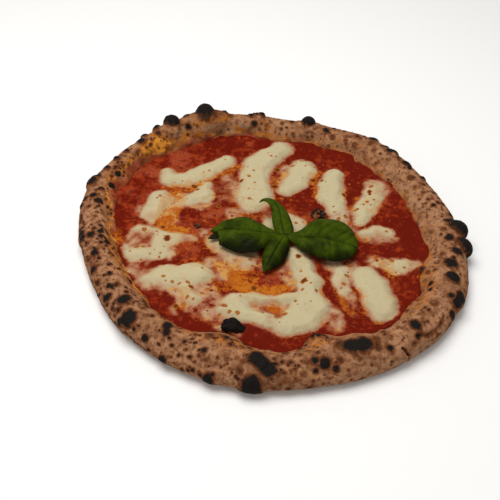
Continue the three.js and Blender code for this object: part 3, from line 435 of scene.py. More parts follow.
def colour_property(label, description, default):
    """A setting of a linear colour"""
    return FloatVectorProperty(
        name=label, description=description, subtype="COLOR", size=3, min=0, max=1, default=default,
    )


# ---------------------------------------------------------------- settings

class PizzaDoughSettings(bpy.types.PropertyGroup):
    """Relief and colours of the baked dough"""

    lump_height: length_property("Lump height", "How far the rim swells and sinks", 0.95)
    wrinkle_height: length_property("Wrinkle height", "Height of the skin's fine wrinkles", 0.11)
    freckles: IntProperty(
        name="Freckles", description="How many small brown spots the oven left on the rim", default=1450)
    pale: colour_property("Pale", "Least baked skin", tone(159, 115, 83))
    baked: colour_property("Baked", "Skin between the spots", tone(112, 71, 45))
    brown: colour_property("Brown", "Browned spots and halos", tone(88, 46, 22))
    scorched: colour_property("Scorched", "Darkest brown round the char", tone(46, 29, 20))
    char: colour_property("Char", "Burnt blisters", tone(24, 20, 18))
    flour: colour_property("Flour", "Floury underside of the rim", tone(150, 119, 90))
    oil: colour_property("Oil", "Dough soaked with orange oil", tone(166, 96, 24))
    golden: colour_property("Golden", "Pools of oil on the dough", tone(212, 142, 52))
    toasted_oil: colour_property("Toasted oil", "Dark dots where the oil browned", tone(100, 44, 14))


class PizzaSauceSettings(bpy.types.PropertyGroup):
    """Relief and colours of the tomato sauce"""

    relief: length_property("Relief", "Height of the pulp's lumps", 0.3)
    deep: colour_property("Deep", "Thick smooth sauce", tone(93, 18, 7))
    pulp: colour_property("Pulp", "Pulpy, drier sauce", tone(134, 45, 18))
    fibre: colour_property("Fibre", "Pale fibres of the tomato", tone(160, 102, 72))
    rusty: colour_property("Rusty oil", "Dark red-orange oil", tone(128, 48, 14))
    oil: colour_property("Oil", "Orange oil floating on the sauce", tone(156, 72, 16))
    bright: colour_property("Bright oil", "Golden middle of the oil", tone(176, 106, 30))


class PizzaCheeseSettings(bpy.types.PropertyGroup):
    """Relief and colours of the melted mozzarella"""

    edge_wander: length_property("Edge wander", "How far the melted edge strays", 2.0)
    grid: length_property("Grid", "Spacing of the cheese's mesh", 0.62)
    cream: colour_property("Cream", "Thick melted cheese", tone(177, 164, 129))
    milky: colour_property("Milky", "Cheese thin enough to let the sauce tint it", tone(170, 144, 112))
    thin: colour_property("Thin", "Thin cheese over sauce", tone(160, 117, 88))
    stained: colour_property("Stained", "Sauce clouded by the cheese", tone(140, 78, 52))
    oiled: colour_property("Oiled", "Cheese under orange oil", tone(168, 98, 36))
    golden: colour_property("Golden", "Cheese under clear oil", tone(180, 132, 66))
    splash: colour_property("Splash", "Orange-brown splashes", tone(152, 86, 28))
    toasted: colour_property("Toasted", "Dark centres of the splashes", tone(84, 36, 12))


class PizzaBasilSettings(bpy.types.PropertyGroup):
    """Relief and colours of the basil"""

    quilting: length_property("Quilting", "How far the blade bulges between its veins", 1.15)
    fresh: colour_property("Fresh", "Lit upper face", tone(57, 73, 6))
    deep: colour_property("Deep", "Darker green of the blade", tone(33, 42, 2))
    # Painted shade: the near-black green of folds, drooping edges and curled-under tips.
    shaded: colour_property("Shaded", "Folds and curled tips", tone(20, 23, 8))
    vein: colour_property("Vein", "Veins of the upper face", tone(40, 42, 8))
    under: colour_property("Under", "Paler lower face", tone(72, 86, 40))


class PizzaStageSettings(bpy.types.PropertyGroup):
    """Floor and lights"""

    floor: colour_property("Floor", "Plain pale floor", (0.8, 0.79, 0.77))
    key_power: FloatProperty(
        name="Key light", description="Power of the large soft light", default=12.0, unit="POWER")
    fill_power: FloatProperty(
        name="Fill light", description="Power of the front light", default=0.9, unit="POWER")
    sky: FloatProperty(name="Sky", description="Strength of the even light all round", default=0.45)


# ---------------------------------------------------------------- numbers and noise

def ease(value, low, high):
    """Smoothly from 0 at low to 1 at high."""
    share = np.clip((np.asarray(value, float) - low) / (high - low), 0, 1)
    return share * share * (3 - 2 * share)


def bell(distance, spread):
    """1 in the middle, falling off to both sides."""
    return np.exp(-((distance / spread) ** 2))


def turns_apart(a, b):
    """Degrees from heading b to heading a, the short way round."""
    return (a - b + 180) % 360 - 180


def rises(heading, places):
    """Rises round the rim, one for each heading, spread and amount."""
    return [amount * bell(turns_apart(heading, place), spread) for place, spread, amount in places]


def knot_values(ix, iy, iz, seed):
    """A repeatable number between -1 and 1 for each knot of a cubic lattice."""
    mask = np.uint64(0xFFFFFFFF)
    mixed = (ix.astype(np.uint64) * np.uint64(374761393) + iy.astype(np.uint64) * np.uint64(668265263)
             + iz.astype(np.uint64) * np.uint64(2246822519) + np.uint64(seed * 3266489917 % 2**32)) & mask
    mixed = ((mixed ^ (mixed >> np.uint64(13))) * np.uint64(1274126177)) & mask
    mixed = ((mixed ^ (mixed >> np.uint64(15))) * np.uint64(2654435761)) & mask
    return (mixed ^ (mixed >> np.uint64(16))) / 2**31 - 1.0


def noise(points, size, seed=0):
    """Smooth noise between -1 and 1 at points, with hollows and humps about size apart."""
    points = np.asarray(points, float)
    if points.shape[-1] == 2:
        points = np.concatenate([points, np.zeros(points.shape[:-1] + (1,))], -1)
    place = points / size + 1000.0
    knot = np.floor(place).astype(np.int64)
    part = place - knot
    part = part ** 3 * (part * (part * 6 - 15) + 10)
    total = 0.0
    for corner in range(8):
        step = np.array([corner & 1, corner >> 1 & 1, corner >> 2 & 1])
        weight = np.prod(np.where(step, part, 1 - part), axis=-1)
        total = total + weight * knot_values(*np.moveaxis(knot + step, -1, 0), seed)
    return total


def layered_noise(points, size, seed=0, layers=3, fade=0.5):
    """Noise with finer and fainter noise added, layer by layer."""
    total = 0.0
    for layer in range(layers):
        total = total + fade ** layer * noise(points, size / 2 ** layer, seed + 17 * layer)
    return total


# ---------------------------------------------------------------- meshes

def piece_from(name, points_mm, faces, material, attributes=None):
    """A smooth mesh object from points in millimetres, with one number a vertex for each attribute."""
    mesh = bpy.data.meshes.new(name)
    mesh.from_pydata((np.asarray(points_mm) * MM).tolist(), [], faces)
    mesh.polygons.foreach_set("use_smooth", np.ones(len(mesh.polygons), bool))
    for label, values in (attributes or {}).items():
        layer = mesh.attributes.new(label, "FLOAT", "POINT")
        layer.data.foreach_set("value", np.asarray(values, np.float32).ravel())
    mesh.materials.append(material)
    mesh.update()
    piece = bpy.data.objects.new(name, mesh)
    bpy.context.scene.collection.objects.link(piece)
    return piece


def finish_piece(piece, slot, *nodes):
    """The piece rides on the one body and stands for the named nodes."""
    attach(piece, "root")
    if nodes:
        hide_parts(*nodes)


def to_frame(points):
    """Points of the layout, in the frame's millimetres."""
    return points + np.array([*LAYOUT_SHIFT, 0.0])


def join_forms(forms, labels):
    """Points, faces and fields of several closed forms as those of one mesh; a missing field is nought."""
    faces = []
    first = 0
    for points, form_faces, _ in forms:
        faces += [[first + number for number in face] for face in form_faces]
        first += len(points)
    fields = {label: np.concatenate([np.broadcast_to(given.get(label, 0.0), len(points))
                                     for points, _, given in forms]) for label in labels}
    return np.concatenate([points for points, _, _ in forms]), faces, fields


def grid_faces(rows, columns, wrap=False):
    """Quads of a grid of rows by columns of vertices; wrapped, the last row joins the first."""
    i = np.arange(rows if wrap else rows - 1)[:, None]
    j = np.arange(columns - 1)[None, :]
    here = i * columns + j
    beside = (i + 1) % rows * columns + j
    return np.stack([here, here + 1, beside + 1, beside], -1).reshape(-1, 4)


def border_of(index):
    """The border of a grid of vertex numbers, once round."""
    return np.concatenate([index[:-1, 0], index[-1, :-1], index[:0:-1, -1], index[0, :0:-1]])


def surface_normals(points, wrap):
    """Unit normals of a grid of points, rows along the first axis."""
    if wrap:
        along = np.roll(points, -1, 0) - np.roll(points, 1, 0)
    else:
        along = np.gradient(points, axis=0)
    over = np.gradient(points, axis=1)
    normals = np.cross(over, along)
    return normals / (np.linalg.norm(normals, axis=-1, keepdims=True) + 1e-12)


def face_outwards(piece):
    """Turn the faces of a closed mesh outwards."""
    work = bmesh.new()
    work.from_mesh(piece.data)
    bmesh.ops.recalc_face_normals(work, faces=work.faces)
    work.to_mesh(piece.data)
    work.free()


# ---------------------------------------------------------------- materials

class Finish:
    """One material's nodes. Its calls add nodes, join what they are given and return the output."""

    def __init__(self, name, roughness, specular):
        self.material = bpy.data.materials.new(name)
        self.material.use_nodes = True
        self.tree = self.material.node_tree
        self.surface = self.tree.nodes["Principled BSDF"]
        self.set("Roughness", roughness)
        self.set("Specular IOR Level", specular)
        self.place = self.tree.nodes.new("ShaderNodeTexCoord").outputs["Object"]

    def give(self, socket, value):
        """Join an output to a socket, or set the socket's own value."""
        if isinstance(value, bpy.types.NodeSocket):
            self.tree.links.new(value, socket)
        elif hasattr(value, "__len__") and len(value) == 3 and socket.type == "RGBA":
            socket.default_value = (*value, 1.0)
        else:
            socket.default_value = value

    def set(self, label, value):
        """Give a value to the surface."""
        self.give(self.surface.inputs[label], value)

    def add(self, kind, output, inputs, **settings):
        node = self.tree.nodes.new(kind)
        for label, value in settings.items():
            setattr(node, label, value)
        for socket, value in inputs.items():
            self.give(node.inputs[socket], value)
        return node.outputs[output]

    def attribute(self, label):
        return self.add("ShaderNodeAttribute", "Fac", {}, attribute_name=label)

    def noise(self, size_mm, detail=3.0, roughness=0.55, distortion=0.0):
        return self.add("ShaderNodeTexNoise", "Fac", {
            "Vector": self.place, "Scale": 1 / (size_mm * MM), "Detail": detail, "Roughness": roughness,
            "Distortion": distortion,
        })

    def cells(self, size_mm):
        inputs = {"Vector": self.place, "Scale": 1 / (size_mm * MM)}
        return self.add("ShaderNodeTexVoronoi", "Distance", inputs)

    def sum(self, operation, a, b=0.0):
        return self.add("ShaderNodeMath", 0, {0: a, 1: b}, operation=operation)

    def times(self, a, b):
        return self.sum("MULTIPLY", a, b)

    def ragged(self, value, *textures):
        """The value moved up and down by textures, each followed by its amount."""
        for texture, amount in zip(textures[::2], textures[1::2]):
            value = self.sum("ADD", value, self.times(self.sum("SUBTRACT", texture, 0.5), amount))
        return value

    def ease(self, value, low, high, least=0.0, most=1.0):
        """Smoothly from the least at low to the most at high."""
        return self.add("ShaderNodeMapRange", "Result", {
            "Value": value, "From Min": low, "From Max": high, "To Min": least, "To Max": most,
        }, interpolation_type="SMOOTHSTEP")

    def strands(self, texture, reach, most):
        """Thin lines along the middle value of a texture."""
        return self.ease(self.sum("ABSOLUTE", self.sum("SUBTRACT", texture, 0.5)), 0.0, reach, most, 0.0)

    def mix(self, share, a, b):
        return self.add("ShaderNodeMix", 2, {0: share, 6: a, 7: b}, data_type="RGBA")

    def cover(self, colour, over, value, low, high, most=1.0, least=0.0):
        """The colour with another over it, as far as the value has gone from low to high."""
        return self.mix(self.ease(value, low, high, least, most), colour, over)

    def bump(self, height, depth_mm, strength=1.0, over=None):
        inputs = {"Strength": strength, "Distance": depth_mm * MM, "Height": height}
        if over is not None:
            inputs["Normal"] = over
        return self.add("ShaderNodeBump", "Normal", inputs)


def sauce_colour(finish, sauce, oil, pulp):
    """Colour of open sauce from how oily and pulpy it is; shared with its film on the rim."""
    broad = finish.noise(15)
    patchy = finish.noise(3.4, 4, 0.62, 0.5)
    fine = finish.noise(1.0, 3, 0.6)
    pulpy = finish.ragged(broad, finish.noise(6), 1.2, patchy, 1.2, pulp, 0.5)
    red = finish.cover(sauce.deep, sauce.pulp, pulpy, 0.32, 0.76)
    red = finish.cover(red, sauce.pulp, fine, 0.5, 0.78, 0.2)
    fibres = finish.sum("MAXIMUM", finish.strands(finish.noise(3.6, 3, 0.55, 2.0), 0.045, 1.0),
                        finish.strands(finish.noise(2.1, 2, 0.5, 1.6), 0.03, 0.7))
    fibres = finish.times(fibres, finish.ease(finish.ragged(pulp, broad, 2.0), 0.45, 1.1, 0.02, 0.62))
    red = finish.mix(fibres, red, sauce.fibre)
    oily = finish.ragged(oil, patchy, 2.6, fine, 0.5)
    shade = finish.ragged(finish.noise(6, 3, 0.6), finish.noise(2.8), 1.8, fine, 0.35, oil, 0.4)
    slick = finish.cover(sauce.rusty, sauce.oil, shade, 0.3, 0.58)
    slick = finish.cover(slick, sauce.bright, shade, 0.52, 0.85, 0.85)
    return finish.cover(red, slick, oily, 0.3, 1.0, 0.92)


def topping_finish(name, sauce, cheese):
    """Finish of the toppings: one run of shades from open sauce to thick cheese, used by both pieces.

    Their edges meet in the same shade and grain, so the cheese melts into the sauce. The attribute
    milk tells how much cheese a place holds, from 0 to 1."""
    finish = Finish(name, 0.5, 0.01)
    oil = finish.attribute("oil")
    milk = finish.attribute("milk")
    patchy = finish.noise(4.2, 3, 0.6)
    fine = finish.noise(1.5, 3, 0.65, 0.3)
    grain = finish.noise(0.7, 2, 0.6)
    colour = sauce_colour(finish, sauce, oil, finish.attribute("pulp"))
    unsure = finish.times(milk, finish.sum("SUBTRACT", 1.0, milk))
    stray = finish.ragged(0.0, patchy, 3.0, fine, 1.6, grain, 0.5)
    cloudy = finish.sum("ADD", milk, finish.times(unsure, stray))
    oily = finish.ease(finish.ragged(oil, patchy, 2.8, fine, 0.9), 0.25, 1.05)
    dull_cream = tuple(0.93 * channel for channel in cheese.cream)
    cream = finish.cover(cheese.cream, dull_cream, finish.noise(8), 0.4, 0.68, 0.4)
    golden = finish.cover(cheese.oiled, cheese.golden, finish.ragged(patchy, fine, 0.8), 0.4, 0.64)
    for plain, oiled, most_oil, low, high in (
            (cheese.stained, sauce.oil, 1.0, 0.02, 0.3), (cheese.thin, golden, 0.9, 0.2, 0.52),
            (cheese.milky, golden, 0.75, 0.45, 0.78), (cream, golden, 0.5, 0.7, 1.0)):
        shade = finish.mix(finish.times(oily, most_oil), plain, oiled)
        colour = finish.cover(colour, shade, cloudy, low, high)
    splash = finish.ragged(finish.attribute("splash"), grain, 0.35)
    colour = finish.cover(colour, cheese.splash, splash, 0.08, 0.55, 0.95)
    toasted = finish.ragged(finish.attribute("toasted"), grain, 0.4)
    colour = finish.cover(colour, cheese.toasted, toasted, 0.15, 0.85, 0.95)
    finish.set("Base Color", colour)
    finish.set("Roughness", finish.ease(finish.noise(2.2), 0.35, 0.7, 0.4, 0.58))
    open_sauce = finish.ease(milk, 0.75, 0.1)
    relief = finish.times(finish.ragged(finish.times(grain, 0.3), finish.noise(3.0), 0.8),
                          finish.ease(open_sauce, 0.0, 1.0, 0.12, 1.0))
    finish.set("Normal", finish.bump(relief, 0.8, 0.5))
    return finish


def dough_finish(dough, sauce):
    """Finish of the rim and the bubbles: skin, with flour, oil, browning and painted shade, thin sauce with
    painted light, and char over it.
    """
    finish = Finish("baked_dough", 0.8, 0.03)
    mottle = finish.noise(3.6, 4, 0.62, 0.4)
    skin = finish.cover(dough.baked, dough.pale, mottle, 0.34, 0.6)
    skin = finish.cover(skin, dough.baked, finish.noise(14), 0.44, 0.64, 0.5)
    skin = finish.cover(skin, dough.pale, finish.noise(1.2, 3, 0.62), 0.45, 0.7, 0.3)
    smudge = finish.ragged(finish.noise(8, 3, 0.6), mottle, 0.5)
    skin = finish.cover(skin, dough.brown, smudge, 0.56, 0.8, 0.5)
    small_spots = finish.ragged(finish.cells(3.0), mottle, 0.5)
    skin = finish.cover(skin, dough.brown, small_spots, 0.1, 0.3, 0.0, 0.6)

    flour = finish.ragged(finish.attribute("flour"), mottle, 1.6, finish.noise(9), 1.2)
    skin = finish.cover(skin, dough.flour, flour, 0.25, 0.9, 0.75)

    stain = finish.attribute("stain")
    flecks = finish.noise(3.2, 3, 0.58, 0.3)
    soaked = finish.ragged(stain, flecks, 2.6, mottle, 1.4)
    skin = finish.cover(skin, dough.oil, soaked, 0.2, 1.0, 0.9)
    skin = finish.cover(skin, dough.golden, soaked, 1.15, 1.6, 0.85)
    dots = finish.ease(finish.ragged(finish.cells(3.3), flecks, 0.9), 0.08, 0.34, 1.0, 0.0)
    dots = finish.times(dots, finish.ease(stain, 0.15, 0.6))
    dots = finish.times(dots, finish.ease(stain, 1.5, 0.9, 0.0, 1.0))
    skin = finish.mix(finish.times(dots, 0.7), skin, dough.toasted_oil)

    blotches = finish.noise(2.6, 3, 0.55, 0.4)
    # Browning, with the painted shade of the creases, takes the skin to brown and then scorched.
    browning_and_shade = finish.times(finish.attribute("browning_and_shade"), finish.ragged(1.0, blotches, 1.5))
    skin = finish.cover(skin, dough.brown, browning_and_shade, 0.06, 0.8, 0.92)
    skin = finish.cover(skin, dough.scorched, browning_and_shade, 0.75, 1.35, 0.75)

    streaks = finish.noise(2.8, 4, 0.65, 1.2)
    film = finish.ragged(finish.attribute("film"), streaks, 2.4, finish.noise(9, 2), 1.2)
    film_share = finish.ease(film, 0.15, 0.8, 0.0, 0.94)
    # Thin sauce on the slope: pulp with pale streaks, then a pulpier copy of the open sauce. Both are
    # lighter than the open sauce, partly the film's own colour and partly painted light against the shade
    # that falls on the slope.
    thin_sauce = finish.cover(sauce.pulp, dough.pale, streaks, 0.4, 0.64, 0.85, 0.1)
    thin_sauce = finish.cover(thin_sauce, sauce_colour(finish, sauce, 0.12, 1.4), film, 0.7, 1.4)
    skin = finish.mix(film_share, skin, thin_sauce)

    char = finish.times(finish.attribute("char"), finish.ragged(1.0, blotches, 1.1))
    char_share = finish.ease(char, 0.36, 0.68)
    ashy = tuple(2.4 * channel for channel in dough.char)
    soot = finish.cover(dough.char, ashy, finish.noise(0.7, 3, 0.7), 0.42, 0.7, 0.6)
    finish.set("Base Color", finish.mix(char_share, skin, soot))
    finish.set("Roughness", finish.ease(finish.sum("MAXIMUM", film_share, char_share), 0.0, 1.0, 0.82, 0.6))
    relief = finish.bump(finish.noise(0.7, 3, 0.6), 0.14, 0.35)
    relief = finish.bump(mottle, 0.4, 0.3, relief)
    crackled = finish.times(finish.noise(0.9, 4, 0.75), char_share)
    finish.set("Normal", finish.bump(crackled, 0.5, 1.0, relief))
    return finish.material


def cheese_finish(sauce, cheese):
    """The toppings' finish, with a little light through the thick cheese."""
    finish = topping_finish("melted_mozzarella", sauce, cheese)
    finish.set("Subsurface Weight", finish.ease(finish.attribute("milk"), 0.5, 1.0, 0.0, 0.12))
    finish.set("Subsurface Radius", (1.0, 0.8, 0.5))
    finish.set("Subsurface Scale", 1.4 * MM)
    return finish.material


def leaf_finish(leaf):
    """Finish of the leaves: mottled greens, with shaded folds, veins and a paler lower face."""
    finish = Finish("basil_leaf", 0.45, 0.02)
    fine = finish.noise(0.8, 3, 0.6)
    shade = finish.attribute("shade")
    blade = finish.cover(leaf.fresh, leaf.deep, finish.noise(11, 2), 0.36, 0.66, 0.5)
    blade = finish.cover(blade, leaf.deep, fine, 0.4, 0.7, 0.3)
    # The shade field is painted shade with some mottling: it takes the blade to the deep green, then to the
    # shaded one.
    blade = finish.cover(blade, leaf.deep, shade, 0.0, 0.5, 0.9)
    blade = finish.cover(blade, leaf.shaded, shade, 0.35, 1.0, 0.95)
    blade = finish.cover(blade, leaf.vein, finish.attribute("vein"), 0.3, 0.9, 0.7)
    finish.set("Base Color", finish.mix(finish.attribute("under"), blade, leaf.under))
    finish.set("Roughness", finish.ease(fine, 0.35, 0.7, 0.36, 0.48))
    relief = finish.bump(finish.noise(0.9, 3, 0.6), 0.14, 0.5)
    finish.set("Normal", finish.bump(finish.noise(3.2, 2), 0.4, 0.35, relief))
    return finish.material


def fleck_finish(name, colour, darker, roughness):
    """A mottled finish for small scattered bits."""
    finish = Finish(name, roughness, 0.1)
    finish.set("Base Color", finish.cover(colour, darker, finish.noise(0.7), 0.35, 0.65))
    finish.set("Normal", finish.bump(finish.noise(0.4), 0.15, 0.6))
    return finish.material


# ---------------------------------------------------------------- dough

def outer_radius(heading):
    """How far the rim's outer side is from the middle."""
    radius = OUTER_RADIUS + 0.0 * heading
    for lobes, push, towards in OUTLINE_LOBES:
        radius = radius + push * np.cos(np.radians(lobes * (heading - towards)))
    return radius


def rim_width(heading):
    """How wide the rim is, from its outer side to the foot of its inner slope."""
    extra, towards = RIM_FRONT
    return RIM_WIDTH + extra * np.cos(np.radians(heading - towards)) + sum(rises(heading, RIM_SHOULDERS))


def rim_height(heading):
    """How high the rim is, before anything rises on it."""
    return RIM_HEIGHT + sum(rises(heading, RIM_SWELLS))


def smooth_rim(heading, across):
    """Points of the rim, in layout millimetres, before anything rises on it.

    Across runs from 0 at the inner slope's foot over 1/3 at the crest and 2/3 at the widest line to 1
    at the foot of the outer side."""
    heading, across = np.broadcast_arrays(np.asarray(heading, float), np.asarray(across, float))
    angle = np.radians(180 - 270 * across)
    half = rim_width(heading) / 2
    height = rim_height(heading)
    widest = WIDEST_LINE * height
    outer = outer_radius(heading)
    under_radius = outer - UNDERCUT * (1 - np.cos(angle))
    radius = np.where(across > 2 / 3, under_radius, outer - half + half * np.cos(angle))
    inner_z = FLOOR_THICKNESS + (height - FLOOR_THICKNESS) * np.abs(np.sin(angle)) ** INNER_SLOPE
    outer_z = widest + (height - widest) * np.sin(angle)
    lower_z = np.maximum(0.0, widest * (1 + np.sin(angle)))
    z = np.where(across < 1 / 3, inner_z, np.where(across > 2 / 3, lower_z, outer_z))
    turn = np.radians(heading)
    return np.stack([radius * np.cos(turn), radius * np.sin(turn), z], -1)


class RimGrid:
    """A fine grid over the rim: its points, outward directions and the fields painted on it."""

    ROUNDS = 1080
    STEPS = 88
    SECTION = 30.0  # heading whose section sets the spacing of the steps
    LEAST_RADIUS = 130  # the blistered part of the rim is no nearer to the middle
    FIELDS = ("char", "browning_and_shade", "stain", "film", "flour")

    def __init__(self):
        fine = np.linspace(0, 1, 721)
        section = smooth_rim(np.full(fine.shape, self.SECTION), fine)
        length = np.concatenate([[0], np.cumsum(np.linalg.norm(np.diff(section, axis=0), axis=1))])
        self.across = np.interp(np.linspace(0, length[-1], self.STEPS), length, fine)
        self.heading = np.arange(self.ROUNDS) * 360 / self.ROUNDS
        self.seat = smooth_rim(self.heading[:, None], self.across[None, :])
        self.normals = surface_normals(self.seat, wrap=True)
        self.lift = np.zeros(self.seat.shape[:2])
        self.fields = {label: np.zeros(self.seat.shape[:2]) for label in self.FIELDS}

    def window(self, heading, reach):
        """Rows of the grid within reach, in millimetres, of a heading."""
        rows = int(math.ceil(reach / self.LEAST_RADIUS / math.radians(360 / self.ROUNDS))) + 1
        middle = int(round(heading % 360 / 360 * self.ROUNDS))
        return np.arange(middle - rows, middle + rows + 1) % self.ROUNDS

    def away(self, heading, across, reach, stretch=1.0):
        """Rows near a place and the distance of their points from it, less along the rim if stretched."""
        rows = self.window(heading, reach * stretch)
        offset = self.seat[rows] - smooth_rim(heading, across)
        turn = math.radians(heading)
        along = offset @ np.array([-math.sin(turn), math.cos(turn), 0.0])
        square = (offset ** 2).sum(-1) - along ** 2
        return rows, np.sqrt(np.maximum(0, square) + (along / stretch) ** 2)

    def raise_most(self, label, rows, values):
        """Bring a field up to the given values where it is lower."""
        field = self.fields[label]
        field[rows] = np.maximum(field[rows], values)


def dome(share):
    """Height of a blister at a share of its radius, with a small fillet round its foot."""
    return np.sqrt(np.clip(1 - share ** 2, 0, None)) + 0.12 * bell(share - 1.0, 0.16)


def add_burn(grid, burn, ragged):
    """One burnt spot: black in its middle and brown round it, and a little raised."""
    heading, across, radius, rise, black = burn
    rows, away = grid.away(heading, across, radius + 6)
    wavy = away * (1 + ragged[rows])
    grid.lift[rows] += rise * dome(away / (1.25 * radius))
    burnt = ease(wavy - 0.94 * radius, 0.4 * radius, -0.5 * radius)
    grid.raise_most("char", rows, ease(black, 0.55, 1.0) * burnt)
    browned = ease(wavy - 0.85 * radius, 1.9 + 0.28 * radius, -1.2)
    grid.raise_most("browning_and_shade", rows, 1.5 * black ** 1.5 * browned)


def add_bands(grid, ragged):
    """The browned stretches, the paler skin and the oil soaked in."""
    for heading, across, length, width, strength in SKIRTS:
        rows, away = grid.away(heading, across, width * 1.8, length / width)
        grid.fields["browning_and_shade"][rows] += strength * bell(away / width * (1 + 1.2 * ragged[rows]), 0.9)
    for label, bands, softness in (("flour", PALE_PATCHES, 0.9), ("stain", OIL_STAINS, 1.0)):
        for heading, across, length, width, strength in bands:
            rows, away = grid.away(heading, across, width * 2, length / width)
            share = away / width * (1 + 1.6 * ragged[rows])
            grid.raise_most(label, rows, strength * bell(share, softness))


def add_freckles(grid, count, draw, ragged):
    """Many small brown spots, closer together on the left, where the oven's fire was."""
    placed = 0
    while placed < count:
        heading = draw.uniform(-180, 180)
        across = draw.uniform(0.1, 0.76)
        closeness = FRECKLE_SPREAD + sum(rises(heading, FRECKLE_CROWDS))
        closeness *= 0.5 + 0.5 * ease(across, 0.1, 0.25) * ease(across, 0.8, 0.62)
        if draw.uniform() > closeness:
            continue
        fiery = bell(turns_apart(heading, FIRE_SIDE[0]), FIRE_SIDE[1])
        near_front = bell(turns_apart(heading, NEAR_FRONT[0]), NEAR_FRONT[1])
        radius = 0.7 + 1.5 * draw.uniform() ** 2.0 + 0.2 * (1 - fiery) + 0.35 * near_front
        strength = 0.34 + (0.44 + 0.54 * fiery) * draw.uniform() ** 1.15
        rows, away = grid.away(heading, across, radius * 2.6, 1.0 + 0.2 * draw.uniform())
        share = away / radius * (1 + 0.7 * ragged[rows])
        grid.raise_most("browning_and_shade", rows, 1.2 * strength * ease(share, 1.6, 0.2))
        if strength > 0.62:
            grid.raise_most("char", rows, (strength - 0.1) * ease(share, 0.95, 0.2))
        grid.lift[rows] += 0.16 * radius * strength * ease(share, 1.3, 0.2)
        placed += 1


def add_creases(grid):
    """Folds and cracks, each a groove with a raised lip on both sides and painted shade in the groove."""
    for width, depth, stations in CREASES:
        path = np.array([smooth_rim(heading, across) for heading, across in stations])
        middle = stations[len(stations) // 2][0]
        rows = grid.window(middle, 30)
        points = grid.seat[rows]
        nearest = np.full(points.shape[:2], 1e3)
        for start, end in zip(path[:-1], path[1:]):
            run = end - start
            share = np.clip(((points - start) @ run) / (run @ run), 0, 1)
            nearest = np.minimum(nearest, np.linalg.norm(points - start - share[..., None] * run, axis=-1))
        grid.lift[rows] += depth * (0.55 * bell(nearest - 1.5 * width, width) - bell(nearest, 0.7 * width))
        # Painted shade: the groove is darkened through the browning field as well.
        grid.fields["browning_and_shade"][rows] += 0.6 * depth * bell(nearest, 0.8 * width)


def add_edges(grid):
    """Sauce drawn up the inner slope, its orange fringe, flour outside and the browned crest."""
    heading = grid.heading[:, None]
    across = grid.across[None, :]
    wander = 0.03 * noise(grid.seat, 9, 22) + 0.018 * noise(grid.seat, 3.5, 23)
    reach = np.maximum(SAUCE_LINE, np.maximum.reduce(rises(heading, SAUCE_FILMS)))
    beyond = across - reach + wander
    grid.fields["film"] += ease(beyond, 0.04, -0.03)
    broad = 0.08 + 0.1 * ease(layered_noise(grid.seat, 30, 26), -0.6, 0.7)
    hot = 0.45 + 0.55 * bell(turns_apart(heading, -165), 85)
    fringe = hot * (0.7 + 0.6 * layered_noise(grid.seat, 9, 24))
    glow = 1.35 * hot * bell(beyond - 0.016, 0.022)
    grid.fields["stain"] = np.maximum(grid.fields["stain"], fringe * ease(beyond, broad, 0.01))
    grid.fields["stain"] = np.maximum(grid.fields["stain"], glow) + 0.12 * hot * ease(across, 0.42, 0.2)
    floury = np.maximum.reduce(rises(heading, FLOUR_BANDS))
    low = ease(across + 1.6 * wander, 0.52, 0.68)
    grid.fields["flour"] += floury * low + 0.35 * ease(across, 0.72, 0.95)
    crest = bell(across - 0.38, 0.2) * ease(layered_noise(grid.seat, 12, 25), -0.3, 0.9)
    grid.fields["browning_and_shade"] += 0.2 * crest * (1 - 0.7 * bell(turns_apart(heading, 95), 35))


def rim_form(settings):
    """The blistered rim with the floor inside it: points, faces and fields."""
    grid = RimGrid()
    ragged = 0.11 * noise(grid.seat, 5, 3) + 0.09 * noise(grid.seat, 2.1, 4)
    for heading, across, radius, rise in BLISTERS:
        rows, away = grid.away(heading, across, 1.6 * radius)
        grid.lift[rows] += rise * dome(away / radius)
    for heading, across, radius, rise in DOMES:
        rows, away = grid.away(heading, across, 1.6 * radius)
        grid.lift[rows] = np.maximum(grid.lift[rows], rise * dome(away / radius))
    for burn in BURNS:
        add_burn(grid, burn, ragged)
    add_bands(grid, ragged)
    add_freckles(grid, settings.freckles, np.random.default_rng(FRECKLE_SEED), ragged)
    add_creases(grid)
    add_edges(grid)

    lumps = noise(grid.seat, 26, 5) + 0.4 * noise(grid.seat, 10, 6)
    wrinkles = layered_noise(grid.seat * np.array([1, 1, 1.6]), 3.2, 7, 2)
    soot = 0.24 * ease(grid.fields["char"], 0.3, 0.7) * layered_noise(grid.seat, 1.9, 8, 2)
    foot = 3.4 * noise(grid.seat, 14, 27) + 1.2 * noise(grid.seat, 5, 28)
    foot = foot + sum(rises(grid.heading, FOOT_SWELLS))[:, None]
    foot = foot * bell(grid.across - 0.1, 0.09)[None, :]
    lift = grid.lift + settings.lump_height / MM * lumps + settings.wrinkle_height / MM * wrinkles
    fade = ease(grid.across, 1.0, 0.86)[None, :] * ease(grid.across, 0.0, 0.06)[None, :]
    points = grid.seat + grid.normals * ((lift + soot + foot) * fade)[..., None]
    points[..., 2] = np.maximum(points[..., 2], 0)

    faces = grid_faces(grid.ROUNDS, grid.STEPS, wrap=True)[:, ::-1].tolist()
    starts = [i * grid.STEPS for i in range(grid.ROUNDS)]
    faces.append(starts)
    faces.append([start + grid.STEPS - 1 for start in reversed(starts)])
    fields = {label: np.clip(values, 0, 1.5).ravel() for label, values in grid.fields.items()}
    return points.reshape(-1, 3), faces, fields


